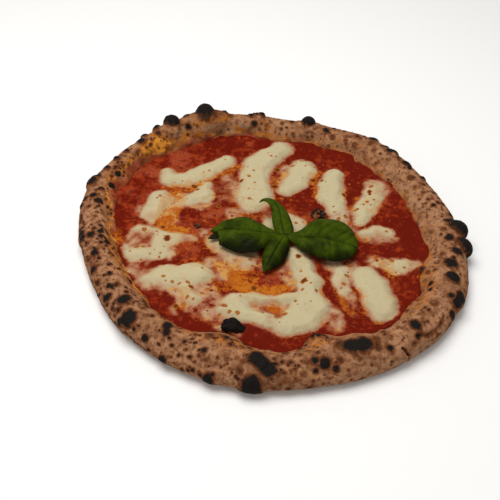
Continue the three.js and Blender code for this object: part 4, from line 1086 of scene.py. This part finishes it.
def bubble_form(bubble, seed):
    """A burnt bubble that stands up through the sauce: points, faces and fields."""
    x, y, half_length, half_width, top, hollow_depth = bubble
    foot = 3.2  # inside the dough's floor, out of sight
    rounds, steps = 72, 26
    turn = np.arange(rounds)[:, None] * 2 * np.pi / rounds
    rise = np.linspace(0, 1, steps)[None, :] * np.pi / 2
    form = np.stack([np.cos(turn) * np.cos(rise), np.sin(turn) * np.cos(rise), np.sin(rise) + 0 * turn], -1)
    lump = 1 + 0.16 * noise(form, 0.6, seed) + 0.09 * noise(form, 0.25, seed + 1)
    shape = form * lump[..., None] * np.array([half_length, half_width, top - foot])
    hollow = bell(np.hypot(shape[..., 0] - 0.6, shape[..., 1] + 0.8), 2.9)
    shape[..., 2] -= hollow_depth * hollow
    points = shape + np.array([x, y, foot])
    bare = 0.9 * hollow * (hollow_depth > 0)
    char = ease(noise(form, 0.42, seed + 2) + 1.5 * np.sin(rise) - bare, -0.2, 0.6)
    char = char * ease(points[..., 2], foot + 2.2, foot + 5.2)

    row = steps - 1
    ring = points[:, :-1].reshape(-1, 3)
    last = [i * row + row - 1 for i in range(rounds)]
    faces = grid_faces(rounds, row, wrap=True)[:, ::-1].tolist()
    faces += [[here, beside, len(ring)] for here, beside in zip(last, last[1:] + last[:1])]
    faces.append([i * row for i in reversed(range(rounds))])
    points = np.concatenate([ring, points[:1, -1]])
    char = np.concatenate([char[:, :-1].ravel(), char[:1, -1]])
    if hollow_depth > 0:
        char = char * ease(noise(points, 2.2, 39), -0.5, 0.1)
    return points, faces, {"char": char, "browning_and_shade": 0.55 + 0.7 * char, "stain": 0.8}


class PIZZA_OT_make_crust(bpy.types.Operator):
    """Make the baked dough with its puffed, blistered rim"""

    bl_idname = "pizza.make_crust"
    bl_label = "Crust"

    def execute(self, context):
        settings = context.scene.pizza_dough
        forms = [rim_form(settings)]
        for order, bubble in enumerate(BUBBLES):
            forms.append(bubble_form(bubble, BUBBLE_SEED + SEED_STEP * order))
        points, faces, fields = join_forms(forms, RimGrid.FIELDS)
        material = dough_finish(settings, context.scene.pizza_sauce)
        piece = piece_from("baked_crust", to_frame(points), faces, material, fields)
        finish_piece(piece, "dough", "crust")
        return {"FINISHED"}


# ---------------------------------------------------------------- toppings' fields

def sauce_height(x, y):
    """Height of the sauce's gently waved top."""
    height = SAUCE_TOP + 0.0 * x
    for rise, wavelength, towards, start in SAUCE_WAVES:
        along = x * math.cos(math.radians(towards)) + y * math.sin(math.radians(towards))
        height = height + rise * np.sin(2 * np.pi * along / wavelength + math.radians(start))
    return height


def blend_depths(a, b, blend):
    """The greater of two depths, with a fillet where they meet."""
    share = np.clip(1 - np.abs(a - b) / blend, 0, None)
    return np.maximum(a, b) + share * share * blend / 4


def inside_stroke(stations, x, y):
    """How far inside a stroke points lie: positive inside, nought on its edge."""
    best = np.full(np.shape(x), -1e3)
    for (ax, ay, aw), (bx, by, bw) in zip(stations[:-1], stations[1:]):
        run2 = (bx - ax) ** 2 + (by - ay) ** 2
        share = np.clip(((x - ax) * (bx - ax) + (y - ay) * (by - ay)) / run2, 0, 1)
        away = np.hypot(x - (ax + (bx - ax) * share), y - (ay + (by - ay) * share))
        best = blend_depths(best, aw + (bw - aw) * share - away, CHEESE_BLEND)
    return best


def inside_piece(strokes, x, y):
    """How far inside a piece of cheese points lie."""
    depth = inside_stroke(strokes[0], x, y)
    for stations in strokes[1:]:
        depth = blend_depths(depth, inside_stroke(stations, x, y), CHEESE_BLEND)
    return depth


def wandered(x, y, amount):
    """Places moved a little by noise, so that outlines drawn through them wander."""
    places = np.stack([x, y], -1)
    aside, ahead = (0.75 * noise(places, 12, seed) + 0.34 * noise(places, 5, seed + 1)
                    + 0.2 * noise(places, 1.8, seed + 2) for seed in (41, 51))
    return x + amount * aside, y + amount * ahead


def specks():
    """Tiny splashes, as rows like those of the larger ones."""
    draw = np.random.default_rng(SPECK_SEED)
    away = SPECK_REACH * np.sqrt(draw.uniform(size=SPECKS))
    turn = draw.uniform(0, 2 * np.pi, SPECKS)
    radius = 0.6 + 0.8 * draw.uniform(size=SPECKS) ** 2
    darkness = draw.uniform(0.15, 0.7, SPECKS)
    return np.stack([away * np.cos(turn), away * np.sin(turn), radius, darkness], -1)


TOPPING_LABELS = ("milk", "oil", "splash", "toasted", "pulp")


def with_underside(fields, chosen):
    """The toppings' fields for the upper vertices, then for the chosen ones' copies below."""
    flat = {label: fields[label].ravel() for label in TOPPING_LABELS}
    return {label: np.concatenate([values, values[chosen]]) for label, values in flat.items()}


def topping_fields(x, y, wander):
    """The fields that colour the toppings, for the places x, y, and how deep these lie in the cheese."""
    places = np.stack([x, y], -1)
    wx, wy = wandered(x, y, wander)
    warped = np.stack([wx, wy], -1)
    edge = np.full(x.shape, -1e3)
    for _, *strokes in MOZZARELLA:
        edge = np.maximum(edge, inside_piece(strokes, wx, wy))
    soft = 2.6 + 1.3 * noise(places, 17, 85)
    clear = 1 - ease(edge, -soft, soft + 0.6)
    streaks = layered_noise(warped, 7, 86)
    for level, stations in VEILS:
        cloud = level * ease(inside_stroke(stations, wx, wy), *STROKE_EDGE)
        cloud = cloud * np.clip(0.8 + 0.75 * streaks, 0, 1.5)
        clear = clear * (1 - np.clip(cloud, 0, 0.95))
    blush = 0.0 * x
    for bx, by, radius, strength in BLUSHES:
        blush = np.maximum(blush, strength * bell(np.hypot(wx - bx, wy - by), radius))
    blush = np.clip(blush * (1 + 0.8 * streaks), 0, 1)
    milk = (1 - clear) * (1 - 0.8 * blush)
    oil = 0.0 * x
    for strength, stations in OIL_STROKES:
        oil = np.maximum(oil, strength * ease(inside_stroke(stations, wx, wy), *STROKE_EDGE))
    wavy = 1 + 0.3 * noise(places, 1.7, 61)
    splash = 0.0 * x
    toasted = 0.0 * x
    for sx, sy, radius, darkness in (*SPLASHES, *specks()):
        share = np.hypot(x - sx, y - sy) * wavy / (SPLASH_SIZE * radius)
        splash = np.maximum(splash, (0.5 + 0.5 * darkness) * ease(share, 1.5, 0.35))
        centre = bell(share - 0.35, 0.55) if darkness > 0.75 else 0.8 * bell(share - 0.75, 0.3)
        toasted = np.maximum(toasted, darkness * centre)
    left = ease(x, -40, -105) * ease(y, -50, 50)
    middle = ease(np.hypot(x + 20, y + 5), 95, 40)
    pulp = np.clip(0.13 + 0.85 * left + 0.2 * middle + 0.42 * layered_noise(places, 24, 83), 0, 1)
    beside = ease(edge, -9, -1.5) * (0.4 + 0.6 * layered_noise(places, 12, 84))
    oil = np.maximum(oil, np.clip(0.32 * middle + 0.27 * beside, 0, 0.62))
    return {"edge": edge, "milk": milk, "oil": oil, "splash": splash, "toasted": toasted, "pulp": pulp}


# ---------------------------------------------------------------- sauce

def disc_places(steps):
    """A square grid of places pressed into a unit circle, without crowding in its middle."""
    line = np.linspace(-1, 1, steps)
    a, b = np.meshgrid(line, line, indexing="ij")
    wide = np.abs(a) > np.abs(b)
    safe_a = np.where(np.abs(a) < 1e-9, 1, a)
    safe_b = np.where(np.abs(b) < 1e-9, 1, b)
    radius = np.where(wide, a, b)
    turn = np.where(wide, np.pi / 4 * b / safe_a, np.pi / 2 - np.pi / 4 * a / safe_b)
    return radius * np.cos(turn), radius * np.sin(turn)


class PIZZA_OT_make_sauce(bpy.types.Operator):
    """Make the tomato sauce spread over the dough's floor"""

    bl_idname = "pizza.make_sauce"
    bl_label = "Sauce"

    STEPS = 310
    TUCK = 2.4  # how far the sauce reaches into the rim's foot, out of sight
    SUNK = 3.7  # height of its hidden underside

    def execute(self, context):
        settings = context.scene.pizza_sauce
        unit_x, unit_y = disc_places(self.STEPS)
        heading = np.degrees(np.arctan2(unit_y, unit_x))
        reach = outer_radius(heading) - rim_width(heading) + self.TUCK
        x, y = unit_x * reach, unit_y * reach
        share = np.hypot(unit_x, unit_y)
        fields = topping_fields(x, y, context.scene.pizza_cheese.edge_wander / MM)

        places = np.stack([x, y], -1)
        lumps = 0.9 * noise(places, 9, 71) + 0.6 * noise(places, 3.6, 72) + 0.28 * noise(places, 1.7, 73)
        under_cheese = ease(fields["edge"], -0.5, 2.0)
        fields["pulp"] = fields["pulp"] * (1 - 0.2 * ease(share, 0.84, 0.97))
        pulp_height = settings.relief / MM * (0.55 + 0.6 * fields["pulp"]) * (1 - fields["milk"])
        border_rise = (1.8 + 1.6 * noise(places, 11, 74)) * ease(share, 0.9, 1.0)
        z = sauce_height(x, y) + pulp_height * lumps - 0.5 * under_cheese + border_rise
        top = to_frame(np.stack([x, y, z], -1)).reshape(-1, 3)

        border = border_of(np.arange(self.STEPS ** 2).reshape(self.STEPS, self.STEPS))
        low = top[border] * np.array([1, 1, 0]) + np.array([0, 0, self.SUNK])
        around = len(top) + np.arange(len(border))
        walls = np.stack([border, around, np.roll(around, -1), np.roll(border, -1)], -1)
        faces = grid_faces(self.STEPS, self.STEPS).tolist() + walls.tolist() + [around.tolist()]
        attributes = with_underside(fields, border)
        material = topping_finish("tomato_sauce", settings, context.scene.pizza_cheese).material
        piece = piece_from("tomato_sauce", np.concatenate([top, low]), faces, material, attributes)
        face_outwards(piece)
        finish_piece(piece, "tomato_sauce", "sauce")
        return {"FINISHED"}


# ---------------------------------------------------------------- mozzarella

def cut_out(x, y, depth):
    """The part of a lattice where depth is positive, cut along its outline.

    Returns the places, how deep each lies, which are on the outline, and the faces."""
    held = depth > 0
    number = np.cumsum(held).reshape(held.shape) - 1
    places = [*zip(x[held], y[held])]
    depths = [*depth[held]]
    whole = held[:-1, :-1] & held[1:, :-1] & held[1:, 1:] & held[:-1, 1:]
    any_held = held[:-1, :-1] | held[1:, :-1] | held[1:, 1:] | held[:-1, 1:]
    i, j = np.nonzero(whole)
    faces = np.stack([number[i, j], number[i + 1, j], number[i + 1, j + 1], number[i, j + 1]], -1).tolist()
    cuts = {}

    def cut(a, b):
        inner, outer = (a, b) if held[a] else (b, a)
        if (inner, outer) not in cuts:
            share = min(0.9, max(0.12, depth[inner] / (depth[inner] - depth[outer])))
            cuts[inner, outer] = len(places)
            places.append(tuple(axis[inner] + (axis[outer] - axis[inner]) * share for axis in (x, y)))
            depths.append(0.0)
        return cuts[inner, outer]

    for i, j in zip(*np.nonzero(any_held & ~whole)):
        square = ((i, j), (i + 1, j), (i + 1, j + 1), (i, j + 1))
        ring = []
        for knot, after in zip(square, square[1:] + square[:1]):
            if held[knot]:
                ring.append(int(number[knot]))
            if held[knot] != held[after]:
                ring.append(cut(knot, after))
        faces.append(ring)
    outline = np.zeros(len(places), bool)
    outline[int(held.sum()):] = True
    return np.array(places), np.array(depths), outline, faces


class PIZZA_OT_make_mozzarella(bpy.types.Operator):
    """Make the melted pieces of mozzarella"""

    bl_idname = "pizza.make_mozzarella"
    bl_label = "Mozzarella"

    SINK = 0.25  # how far a piece's edge lies under the sauce
    UNDERSIDE = 0.4  # how far its hidden lower face lies below its edge
    SPREAD = 0.8  # how far the thinned edge runs out beyond the solid's
    SHOULDER = 8.0  # how far in from its edge a piece reaches its full thickness

    def execute(self, context):
        settings = context.scene.pizza_cheese
        material = cheese_finish(context.scene.pizza_sauce, settings)
        for order, (thickness, *strokes) in enumerate(MOZZARELLA, 1):
            piece = self.make_piece(f"melted_mozzarella_{order:02d}", thickness, strokes, settings, material)
            finish_piece(piece, "mozzarella", f"mozzarella_{order:02d}")
        return {"FINISHED"}

    def make_piece(self, name, thickness, strokes, settings, material):
        spacing = settings.grid / MM
        wander = settings.edge_wander / MM
        stations = np.array([station for stroke in strokes for station in stroke], float)
        low = (stations[:, :2] - stations[:, 2:]).min(0) - 5
        high = (stations[:, :2] + stations[:, 2:]).max(0) + 5
        sides = [np.arange(start, end, spacing) for start, end in zip(low, high)]
        x, y = np.meshgrid(*sides, indexing="ij")
        depth = inside_piece(strokes, *wandered(x, y, wander)) + self.SPREAD
        places, depths, outline, faces = cut_out(x, y, depth)
        x, y = places.T
        fields = topping_fields(x, y, wander)
        share = ease(depths, -1.0, self.SHOULDER)
        folds = 0.2 * noise(places, 17, 91) + 0.04 * noise(places, 6, 92)
        rise = (thickness + self.SINK) * share * (1 + folds)
        rise = rise * (0.6 + 0.4 * ease(fields["milk"], 0.2, 0.8)) - 0.3 * fields["splash"] * share
        seat = sauce_height(x, y) - self.SINK
        top = np.where(outline, seat, seat + np.maximum(rise, 0.1))
        upper = to_frame(np.stack([x, y, top], -1))
        inner = ~outline
        lower_number = np.where(outline, np.arange(len(places)), len(places) + np.cumsum(inner) - 1)
        lower = to_frame(np.stack([x, y, seat - self.UNDERSIDE], -1))[inner]
        under = [[int(lower_number[k]) for k in reversed(face)] for face in faces]
        attributes = with_underside(fields, inner)
        return piece_from(name, np.concatenate([upper, lower]), faces + under, material, attributes)


# ---------------------------------------------------------------- basil

def topping_height(x, y):
    """Height of the sauce and the cheese on it."""
    height = sauce_height(x, y)
    for thickness, *strokes in MOZZARELLA:
        share = np.clip(inside_piece(strokes, x, y) / CHEESE_SHOULDER, 0, 1)
        height = np.maximum(height, sauce_height(x, y) + thickness * np.sqrt(1 - (1 - share) ** 2))
    return height


def through(stations, count):
    """Count rows on a smooth curve through the stations, each a row of numbers."""
    knots = np.array(stations, float)
    knots = np.concatenate([2 * knots[:1] - knots[1:2], knots, 2 * knots[-1:] - knots[-2:-1]])
    place = np.linspace(0, len(stations) - 1, count)
    start = np.minimum(place.astype(int), len(stations) - 2)
    share = (place - start)[:, None]
    a, b, c, d = (knots[start + k] for k in range(4))
    return 0.5 * (2 * b + (c - a) * share + (2 * a - 5 * b + 4 * c - d) * share ** 2
                  + (3 * b - a - 3 * c + d) * share ** 3)


def leaf_form(stations, settings, seed):
    """Both faces of one leaf: points, faces and its vein, painted shade and under fields."""
    rows, columns = 120, 73
    curves = (column[:, None] for column in through(stations, rows).T)
    x, y, z, left, left_drop, right, right_drop, shade = curves
    across = np.linspace(-1, 1, columns)[None, :]
    half = np.abs(across)
    towards = np.stack([np.gradient(x[:, 0]), np.gradient(y[:, 0])], -1)
    towards /= np.linalg.norm(towards, axis=1, keepdims=True)
    width = np.maximum(0.25, np.where(across > 0, left, right))
    drop = np.where(across > 0, left_drop, right_drop)
    run = np.concatenate([[0], np.cumsum(np.hypot(np.diff(x[:, 0]), np.diff(y[:, 0])))])[:, None]
    offset = width * across
    px = x - towards[:, 1:] * offset
    py = y + towards[:, :1] * offset
    places = np.stack([px, py], -1)

    share = np.linspace(0, 1, rows)[:, None]
    blade = ease(share, 0.03, 0.16) * ease(share, 1.0, 0.9)
    size = width / FULL_HALF_WIDTH
    bend = 1.15 * half * size + 0.25 * (half * size) ** 2
    phase = run / VEIN_SPACING + 0.22 * noise(places, 9, seed + 4) - bend
    between = np.abs(np.sin(np.pi * phase)) ** 0.7
    puff = 2.6 * size * 4 * half ** 0.8 * np.clip(1 - half, 0, 1)
    quilt = settings.quilting / MM * between * blade * size * (1 - half ** 4) * ease(half, 0.0, 0.15)
    crumple = 0.55 * noise(places, 12, seed) + 0.2 * noise(places, 4.5, seed + 1)
    frill = 0.5 * noise(places, 7, seed + 2) * half ** 3
    pz = z - drop * half ** 2.3 + 0.62 * puff * blade + quilt + (crumple + frill) * blade
    pz = np.maximum(pz, topping_height(px, py) + 0.3 + LEAF_THICKNESS)

    middle = np.stack([px, py, pz], -1)
    normals = surface_normals(middle, wrap=False)
    normals *= np.sign(normals[rows // 2, columns // 2, 2])
    thick = LEAF_THICKNESS / 2 * (0.3 + 0.7 * (1 - half ** 6)) + 0 * share
    upper = middle + normals * thick[..., None]
    lower = middle - normals * thick[..., None]
    count = rows * columns
    top_faces = grid_faces(rows, columns)
    border = border_of(np.arange(count).reshape(rows, columns))
    after = np.roll(border, -1)
    faces = (top_faces.tolist() + (top_faces[:, ::-1] + count).tolist()
             + np.stack([border, after, after + count, border + count], -1).tolist())

    rib = bell(offset, 0.45)
    side_veins = bell(between, 0.42) * (1 - half ** 3) * blade
    pleats = bell(np.sin(np.pi * (run - 1.5 * offset) / PLEAT_SPACING), 0.4)
    pleats = pleats * ease(across, 0.1, 0.45) * bell(share - 0.3, 0.13)
    # Painted shade: the stations' own shade, darker along the midrib, a little along the side veins, in the
    # pleats near the base and on edges that drop away; the noise is the leaf's own mottling.
    shadow = shade + 0.34 * bell(offset, 0.9) + 0.15 * side_veins + 0.7 * pleats + 0.23 * drop * half ** 2.3
    shadow = shadow + 0.34 * noise(places, 7, seed + 3) + 0.16 * noise(places, 2.2, seed + 5)
    both_faces = {"vein": (rib, rib), "shade": (shadow, 0), "under": (0, 1)}
    attributes = {label: np.stack([np.broadcast_to(values, (rows, columns)) for values in pair]).ravel()
                  for label, pair in both_faces.items()}
    return np.concatenate([upper.reshape(-1, 3), lower.reshape(-1, 3)]), faces, attributes


def stem_form():
    """The short stem under the leaves: points, faces and fields."""
    x, y, foot, top, foot_radius, top_radius = STEM
    rounds, steps = 20, 9
    turn = np.arange(rounds)[:, None] * 2 * np.pi / rounds
    rise = np.linspace(0, 1, steps)[None, :]
    radius = foot_radius + (top_radius - foot_radius) * rise
    z = foot + (top - foot) * rise + 0 * turn
    points = np.stack([x + radius * np.cos(turn), y + radius * np.sin(turn), z], -1)
    faces = grid_faces(rounds, steps, wrap=True)[:, ::-1].tolist()
    faces.append([i * steps for i in reversed(range(rounds))])
    faces.append([i * steps + steps - 1 for i in range(rounds)])
    # The stem takes a little painted shade.
    return points.reshape(-1, 3), faces, {"vein": 0.5, "shade": 0.2, "under": 0.3}


class PIZZA_OT_make_basil(bpy.types.Operator):
    """Make the sprig of basil leaves"""

    bl_idname = "pizza.make_basil"
    bl_label = "Basil"

    def execute(self, context):
        settings = context.scene.pizza_basil
        forms = [stem_form()]
        for order, stations in enumerate(LEAVES):
            forms.append(leaf_form(stations, settings, LEAF_SEED + SEED_STEP * order))
        points, faces, fields = join_forms(forms, ("vein", "shade", "under"))
        piece = piece_from("basil_leaves", to_frame(points), faces, leaf_finish(settings), fields)
        face_outwards(piece)
        finish_piece(piece, "basil_leaf", "basil_sprig")
        return {"FINISHED"}


# ---------------------------------------------------------------- scattered bits

def bit_nodes():
    """Geometry Nodes that set a small rough bead on every point, sized by the point's own size."""
    tree = bpy.data.node_groups.new("Scattered Bits", "GeometryNodeTree")
    for label, side, kind, default in (
            ("Geometry", "INPUT", "Geometry", None), ("Flatness", "INPUT", "Float", 0.5),
            ("Roughness", "INPUT", "Float", 0.4), ("Grain", "INPUT", "Float", 900.0),
            ("Seed", "INPUT", "Int", 1), ("Material", "INPUT", "Material", None),
            ("Geometry", "OUTPUT", "Geometry", None)):
        socket = tree.interface.new_socket(name=label, in_out=side, socket_type=f"NodeSocket{kind}")
        if default is not None:
            socket.default_value = default

    def add(kind, inputs, **settings):
        """Add a node, with numbers or other nodes' outputs for its inputs, and return its outputs."""
        node = tree.nodes.new(kind)
        for label, value in settings.items():
            setattr(node, label, value)
        for socket, value in inputs.items():
            if isinstance(value, bpy.types.NodeSocket):
                tree.links.new(value, node.inputs[socket])
            else:
                node.inputs[socket].default_value = value
        return node.outputs

    given = add("NodeGroupInput", {})
    size = add("GeometryNodeInputNamedAttribute", {"Name": "size"}, data_type="FLOAT")["Attribute"]
    bead = add("GeometryNodeMeshIcoSphere", {"Radius": 1.0, "Subdivisions": 2})
    form = add("ShaderNodeCombineXYZ", {"X": 1.0, "Y": 1.0, "Z": given["Flatness"]})
    scale = add("ShaderNodeVectorMath", {0: form["Vector"], "Scale": size}, operation="SCALE")
    tilt = 0.25
    turn = add("FunctionNodeRandomValue", {
        0: (-tilt, -tilt, 0.0), 1: (tilt, tilt, 2 * math.pi), "Seed": given["Seed"],
    }, data_type="FLOAT_VECTOR")
    spread = add("GeometryNodeInstanceOnPoints", {
        "Points": given["Geometry"], "Instance": bead["Mesh"], "Rotation": turn[0], "Scale": scale["Vector"],
    })
    real = add("GeometryNodeRealizeInstances", {"Geometry": spread["Instances"]})
    grain = add("ShaderNodeTexNoise", {"Scale": given["Grain"]})
    centred = add("ShaderNodeVectorMath", {0: grain["Color"], 1: (0.5, 0.5, 0.5)}, operation="SUBTRACT")
    amount = add("ShaderNodeMath", {0: size, 1: given["Roughness"]}, operation="MULTIPLY")
    push = add("ShaderNodeVectorMath", {0: centred["Vector"], "Scale": amount[0]}, operation="SCALE")
    rough = add("GeometryNodeSetPosition", {"Geometry": real["Geometry"], "Offset": push["Vector"]})
    dressed = add("GeometryNodeSetMaterial", {"Geometry": rough["Geometry"], "Material": given["Material"]})
    add("NodeGroupOutput", {"Geometry": dressed["Geometry"]})
    return tree


def scatter_bits(name, tree, places_mm, sizes_mm, flatness, roughness, seed, material, slot):
    """Beads on the given places as one plain mesh."""
    mesh = bpy.data.meshes.new(f"{name}_points")
    mesh.from_pydata((np.asarray(places_mm) * MM).tolist(), [], [])
    sizes = np.asarray(sizes_mm, np.float32) * MM
    mesh.attributes.new("size", "FLOAT", "POINT").data.foreach_set("value", sizes)
    carrier = bpy.data.objects.new(f"{name}_points", mesh)
    bpy.context.scene.collection.objects.link(carrier)
    modifier = carrier.modifiers.new("Scatter", "NODES")
    modifier.node_group = tree
    values = {"Flatness": flatness, "Roughness": roughness, "Grain": 1 / (BIT_GRAIN * MM), "Seed": seed,
              "Material": material}
    for item in tree.interface.items_tree:
        if item.in_out == "INPUT" and item.name in values:
            modifier[item.identifier] = values[item.name]
    evaluated = carrier.evaluated_get(bpy.context.evaluated_depsgraph_get())
    made = bpy.data.meshes.new_from_object(evaluated)
    carrier.modifiers.remove(modifier)
    bpy.data.objects.remove(carrier)
    made.polygons.foreach_set("use_smooth", np.ones(len(made.polygons), bool))
    made.name = name
    piece = bpy.data.objects.new(name, made)
    bpy.context.scene.collection.objects.link(piece)
    finish_piece(piece, slot)


class PIZZA_OT_scatter_bits(bpy.types.Operator):
    """Scatter soot flecks and tomato bits over the pizza"""

    bl_idname = "pizza.scatter_bits"
    bl_label = "Soot and tomato bits"

    def execute(self, context):
        sauce = context.scene.pizza_sauce
        dough = context.scene.pizza_dough
        tree = bit_nodes()
        draw = np.random.default_rng(BIT_SEED)
        places, sizes = self.on_the_sauce(draw, *TOMATO_BITS)
        scatter_bits("tomato_bits", tree, places, sizes, 0.45, 1.1, 3,
                     fleck_finish("tomato_pulp", sauce.pulp, sauce.deep, 0.4), "tomato_sauce")
        places, sizes = self.on_the_rim(draw, SOOT_FLECKS)
        x, y, large = np.array(SOOT_ON_SAUCE).T
        lying = to_frame(np.stack([x, y, topping_height(x, y) + 0.2 * large], -1))
        places, sizes = np.concatenate([places, lying]), np.concatenate([sizes, large])
        scatter_bits("soot_flecks", tree, places, sizes, 0.55, 1.2, 7,
                     fleck_finish("soot", dough.char, dough.brown, 0.85), "dough")
        return {"FINISHED"}

    def on_the_sauce(self, draw, count, least, most):
        """Places on open sauce, clear of the cheese."""
        reach = 122
        x, y = draw.uniform(-reach, reach, (2, 6 * count))
        heading = np.degrees(np.arctan2(y, x))
        open_sauce = np.hypot(x, y) < outer_radius(heading) - rim_width(heading) - 2
        for _, *strokes in MOZZARELLA:
            open_sauce &= inside_piece(strokes, x, y) < -1.5
        x, y = x[open_sauce][:count], y[open_sauce][:count]
        sizes = least + (most - least) * draw.uniform(size=len(x)) ** 3
        return to_frame(np.stack([x, y, sauce_height(x, y) + 0.1 * sizes], -1)), sizes

    def on_the_rim(self, draw, count):
        """Places near the burnt blisters, on the dough's surface."""
        spots = [burn for burn in BURNS if burn[4] > 0.75]
        places = []
        for _ in range(count):
            heading, across, radius, _, _ = spots[draw.integers(len(spots))]
            heading += draw.normal() * (radius + 4) / 2.4
            across = float(np.clip(across + draw.normal() * 0.06, 0.12, 0.7))
            places.append(smooth_rim(heading, across))
        return to_frame(np.array(places)), 0.25 + 0.55 * draw.uniform(size=count) ** 2


# ---------------------------------------------------------------- stage

class PIZZA_OT_set_stage(bpy.types.Operator):
    """Add the floor, the soft lights and the camera"""

    bl_idname = "pizza.set_stage"
    bl_label = "Stage"

    def execute(self, context):
        settings = context.scene.pizza_stage
        self.make_floor(settings)
        self.make_light("key_light", settings.key_power, *KEY_LIGHT)
        self.make_light("fill_light", settings.fill_power, *FILL_LIGHT)
        self.make_sky(context, settings)
        self.make_camera(context)
        context.scene.view_settings.view_transform = "Standard"
        return {"FINISHED"}

    def make_floor(self, settings):
        finish = Finish("plain_floor", 0.7, 0.1)
        finish.set("Base Color", settings.floor)
        corners = [(x * FLOOR_HALF, y * FLOOR_HALF, 0) for x, y in ((-1, -1), (1, -1), (1, 1), (-1, 1))]
        piece_from("floor", corners, [(0, 1, 2, 3)], finish.material)

    def make_light(self, name, power, size, place):
        lamp = bpy.data.lights.new(name, "AREA")
        lamp.shape = "DISK"
        lamp.size = size
        lamp.energy = power
        light = bpy.data.objects.new(name, lamp)
        light.location = place
        light.rotation_euler = (-Vector(place)).to_track_quat("-Z", "Y").to_euler()
        bpy.context.scene.collection.objects.link(light)

    def make_sky(self, context, settings):
        world = bpy.data.worlds.new("studio")
        world.use_nodes = True
        background = world.node_tree.nodes["Background"]
        background.inputs["Color"].default_value = (1, 1, 1, 1)
        background.inputs["Strength"].default_value = settings.sky
        context.scene.world = world

    def make_camera(self, context):
        lens = bpy.data.cameras.new("camera")
        lens.lens = CAMERA_LENS
        lens.sensor_width = SENSOR_WIDTH
        lens.clip_start = 0.01
        camera = bpy.data.objects.new("camera", lens)
        place = Vector(CAMERA_PLACE) * MM
        ahead = (Vector(CAMERA_AIM) * MM - place).normalized()
        level = ahead.to_track_quat("-Z", "Y").to_matrix().to_4x4()
        roll = Matrix.Rotation(math.radians(CAMERA_ROLL), 4, "Z")
        camera.matrix_world = Matrix.Translation(place) @ level @ roll
        context.scene.collection.objects.link(camera)
        context.scene.camera = camera


# ---------------------------------------------------------------- panel and registration

class VIEW3D_PT_pizza(bpy.types.Panel):
    """Lists the pieces of the pizza and their settings"""

    bl_label = "Margherita Pizza"
    bl_space_type = "VIEW_3D"
    bl_region_type = "UI"
    bl_category = "Pizza"

    def draw(self, context):
        layout = self.layout
        for label, operators in SECTIONS:
            box = layout.box()
            for operator in operators:
                box.operator(operator.bl_idname)
            settings = getattr(context.scene, label)
            for name in settings.__annotations__:
                box.prop(settings, name)


SETTINGS = {
    "pizza_dough": PizzaDoughSettings,
    "pizza_sauce": PizzaSauceSettings,
    "pizza_cheese": PizzaCheeseSettings,
    "pizza_basil": PizzaBasilSettings,
    "pizza_stage": PizzaStageSettings,
}
SECTIONS = (
    ("pizza_dough", (PIZZA_OT_make_crust,)),
    ("pizza_sauce", (PIZZA_OT_make_sauce, PIZZA_OT_scatter_bits)),
    ("pizza_cheese", (PIZZA_OT_make_mozzarella,)),
    ("pizza_basil", (PIZZA_OT_make_basil,)),
    ("pizza_stage", (PIZZA_OT_set_stage,)),
)
OPERATORS = tuple(operator for _, operators in SECTIONS for operator in operators)


def register():
    for label, group in SETTINGS.items():
        bpy.utils.register_class(group)
        setattr(bpy.types.Scene, label, PointerProperty(type=group))
    for operator in OPERATORS:
        bpy.utils.register_class(operator)
    bpy.utils.register_class(VIEW3D_PT_pizza)


def unregister():
    bpy.utils.unregister_class(VIEW3D_PT_pizza)
    for operator in reversed(OPERATORS):
        bpy.utils.unregister_class(operator)
    for label, group in reversed(SETTINGS.items()):
        delattr(bpy.types.Scene, label)
        bpy.utils.unregister_class(group)


def main():
    register()
    bpy.ops.pizza.set_stage()
    bpy.ops.pizza.make_crust()
    bpy.ops.pizza.make_sauce()
    bpy.ops.pizza.make_mozzarella()
    bpy.ops.pizza.make_basil()
    bpy.ops.pizza.scatter_bits()


if __name__ == "__main__":
    main()
